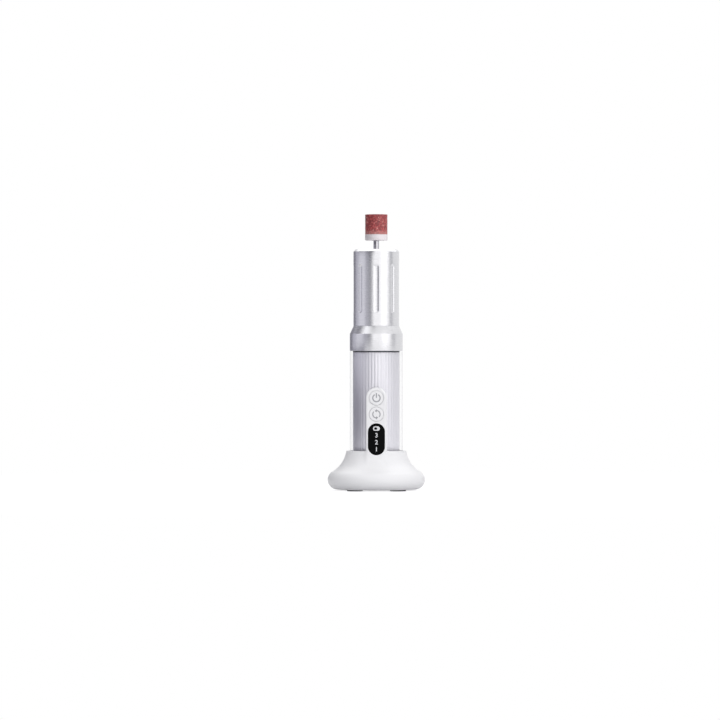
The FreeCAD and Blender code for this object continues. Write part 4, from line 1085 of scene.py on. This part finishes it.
def floor_material():
    """Pale matt paper. Seen directly it is white, and near the object it keeps the shadow."""
    material = empty_material("paper_matt")
    place = add(material, "ShaderNodeTexCoord").outputs["Object"]
    reach = add(material, "ShaderNodeVectorMath", {0: place}, operation="LENGTH")
    fade = {"Value": reach.outputs["Value"], "From Min": 0.1, "From Max": 0.4}
    far = add(material, "ShaderNodeMapRange", fade).outputs["Result"]
    seen = seen_rays(material)
    share = add(material, "ShaderNodeMath", {0: seen, 1: far}, operation="MULTIPLY")
    lift = add(material, "ShaderNodeMath", {0: seen, 1: FLOOR_GLOW}, operation="MULTIPLY")
    matt = add(material, "ShaderNodeBsdfDiffuse", {"Color": linear("#cacacc")})
    shine = {"Color": (1, 1, 1, 1), "Strength": lift.outputs[0]}
    glow = add(material, "ShaderNodeEmission", shine)
    near = add(material, "ShaderNodeAddShader", {0: matt.outputs[0], 1: glow.outputs[0]})
    white = add(material, "ShaderNodeEmission", {"Color": (1, 1, 1, 1), "Strength": 1.0})
    parts = {0: share.outputs[0], 1: near.outputs[0], 2: white.outputs[0]}
    both = add(material, "ShaderNodeMixShader", parts)
    add(material, "ShaderNodeOutputMaterial", {"Surface": both.outputs[0]})
    return material


def lay_floor():
    mesh = bpy.data.meshes.new("floor")
    corners = [(x * FLOOR_HALF, y * FLOOR_HALF, 0) for x, y in ((-1, -1), (1, -1), (1, 1), (-1, 1))]
    mesh.from_pydata(corners, [], [(0, 1, 2, 3)])
    floor = shown("floor", mesh, floor_material())


def round_the_object(azimuth_deg, distance, height):
    """Place at an angle right of the camera, in metres from the axis."""
    a = math.radians(azimuth_deg)
    return Vector((distance * math.sin(a), -distance * math.cos(a), height))


def hang_lamp(name, azimuth_deg, distance, height, wide, high, brightness, code, lights=True):
    """Soft rectangular lamp that faces the object, with the brightness of its face.
    One that doesn't light shows only in what is glossy."""
    lamp = bpy.data.lights.new(name, "AREA")
    lamp.shape = "RECTANGLE"
    lamp.size = wide
    lamp.size_y = high
    lamp.energy = brightness * math.pi * wide * high
    lamp.color = linear(code)[:3]
    holder = bpy.data.objects.new(name, lamp)
    holder.location = round_the_object(azimuth_deg, distance, height)
    way = LAMP_AIM - holder.location
    holder.rotation_euler = way.to_track_quat("-Z", "Y").to_euler()
    holder.visible_diffuse = lights
    bpy.context.scene.collection.objects.link(holder)


def stand_flag(name, azimuth_deg, half_deg, code, distance=0.9, low=-0.3, high=0.5, blocks=False):
    """Grey card that the metal mirrors, as a photographer stands one beside the lamp.
    One that blocks also keeps light off what is matt."""
    left = round_the_object(azimuth_deg - half_deg, distance, 0)
    right = round_the_object(azimuth_deg + half_deg, distance, 0)
    mesh = bpy.data.meshes.new(name)
    corners = [(p.x, p.y, z) for p, z in ((left, low), (right, low), (right, high), (left, high))]
    mesh.from_pydata(corners, [], [(0, 1, 2, 3)])
    material = empty_material(name)
    card = add(material, "ShaderNodeEmission", {"Color": linear(code), "Strength": 1.0})
    add(material, "ShaderNodeOutputMaterial", {"Surface": card.outputs[0]})
    flag = shown(name, mesh, material)
    flag.visible_camera = False
    flag.visible_diffuse = blocks
    flag.visible_shadow = blocks
    flag.visible_transmission = False


place_camera()
set_studio()
lay_floor()
hang_lamp("key_lamp", 24, 0.8, 0.24, 1.2, 0.9, 1.32, "#fffefe")
hang_lamp("core_lamp", 38, 0.78, 0.24, 0.36, 0.9, 0.46, "#ffffff")
hang_lamp("top_lamp", 180, 0.35, 0.95, 1.7, 1.0, 1.4, "#ffffff", lights=False)
hang_lamp("high_left_lamp", -57, 0.64, 0.73, 0.32, 0.3, 0.55, "#fafaff", lights=False)

# Cards round the object, between which the metal darkens and brightens
for name, azimuth, half, code in (
    ("narrow_flag", -30, 7, "#7c7c84"),
    ("beside_flag", -47, 10, "#b4b3be"),
    ("left_flag", -78, 21, "#f0eff8"),
    ("side_flag", -112, 13, "#c9c8d4"),
    ("back_flag", -145, 20, "#8d8c96"),
    ("right_flag", 80, 9, "#c6c6ca"),
):
    stand_flag(name, azimuth, half, code)
# Black behind the key lamp, so that the metal doesn't mirror the pale room through it as well
stand_flag("lamp_back", 24, 34, "#000000", 1.15, -0.1, 0.8)
# Small ones for the ring's cone, the drum with its spindle, and the foot of the sleeve
stand_flag("high_flag", -106, 22, "#8d8c94", 0.7, 0.4, 0.9)
stand_flag("spindle_flag", -52, 42, "#6e6d73", 0.05, 0.139, 0.185, blocks=True)
stand_flag("sleeve_flag", -95, 45, "#72717d", 0.14, 0.0, 0.07)

make_housing()
make_slot_frame()
make_tube()
make_sleeve()
make_nose()
make_shoulder()
make_key("power_key_cap", POWER_Z, "power_key", "power_button")
make_key("speed_key_cap", SPEED_Z, "speed_key", "speed_button")
make_key_marks()
make_window()
make_window_marks()
make_band()
make_hub()
make_spindle()
make_drum_screw()
make_pads()
make_base_screws()
finish_kept_nodes()
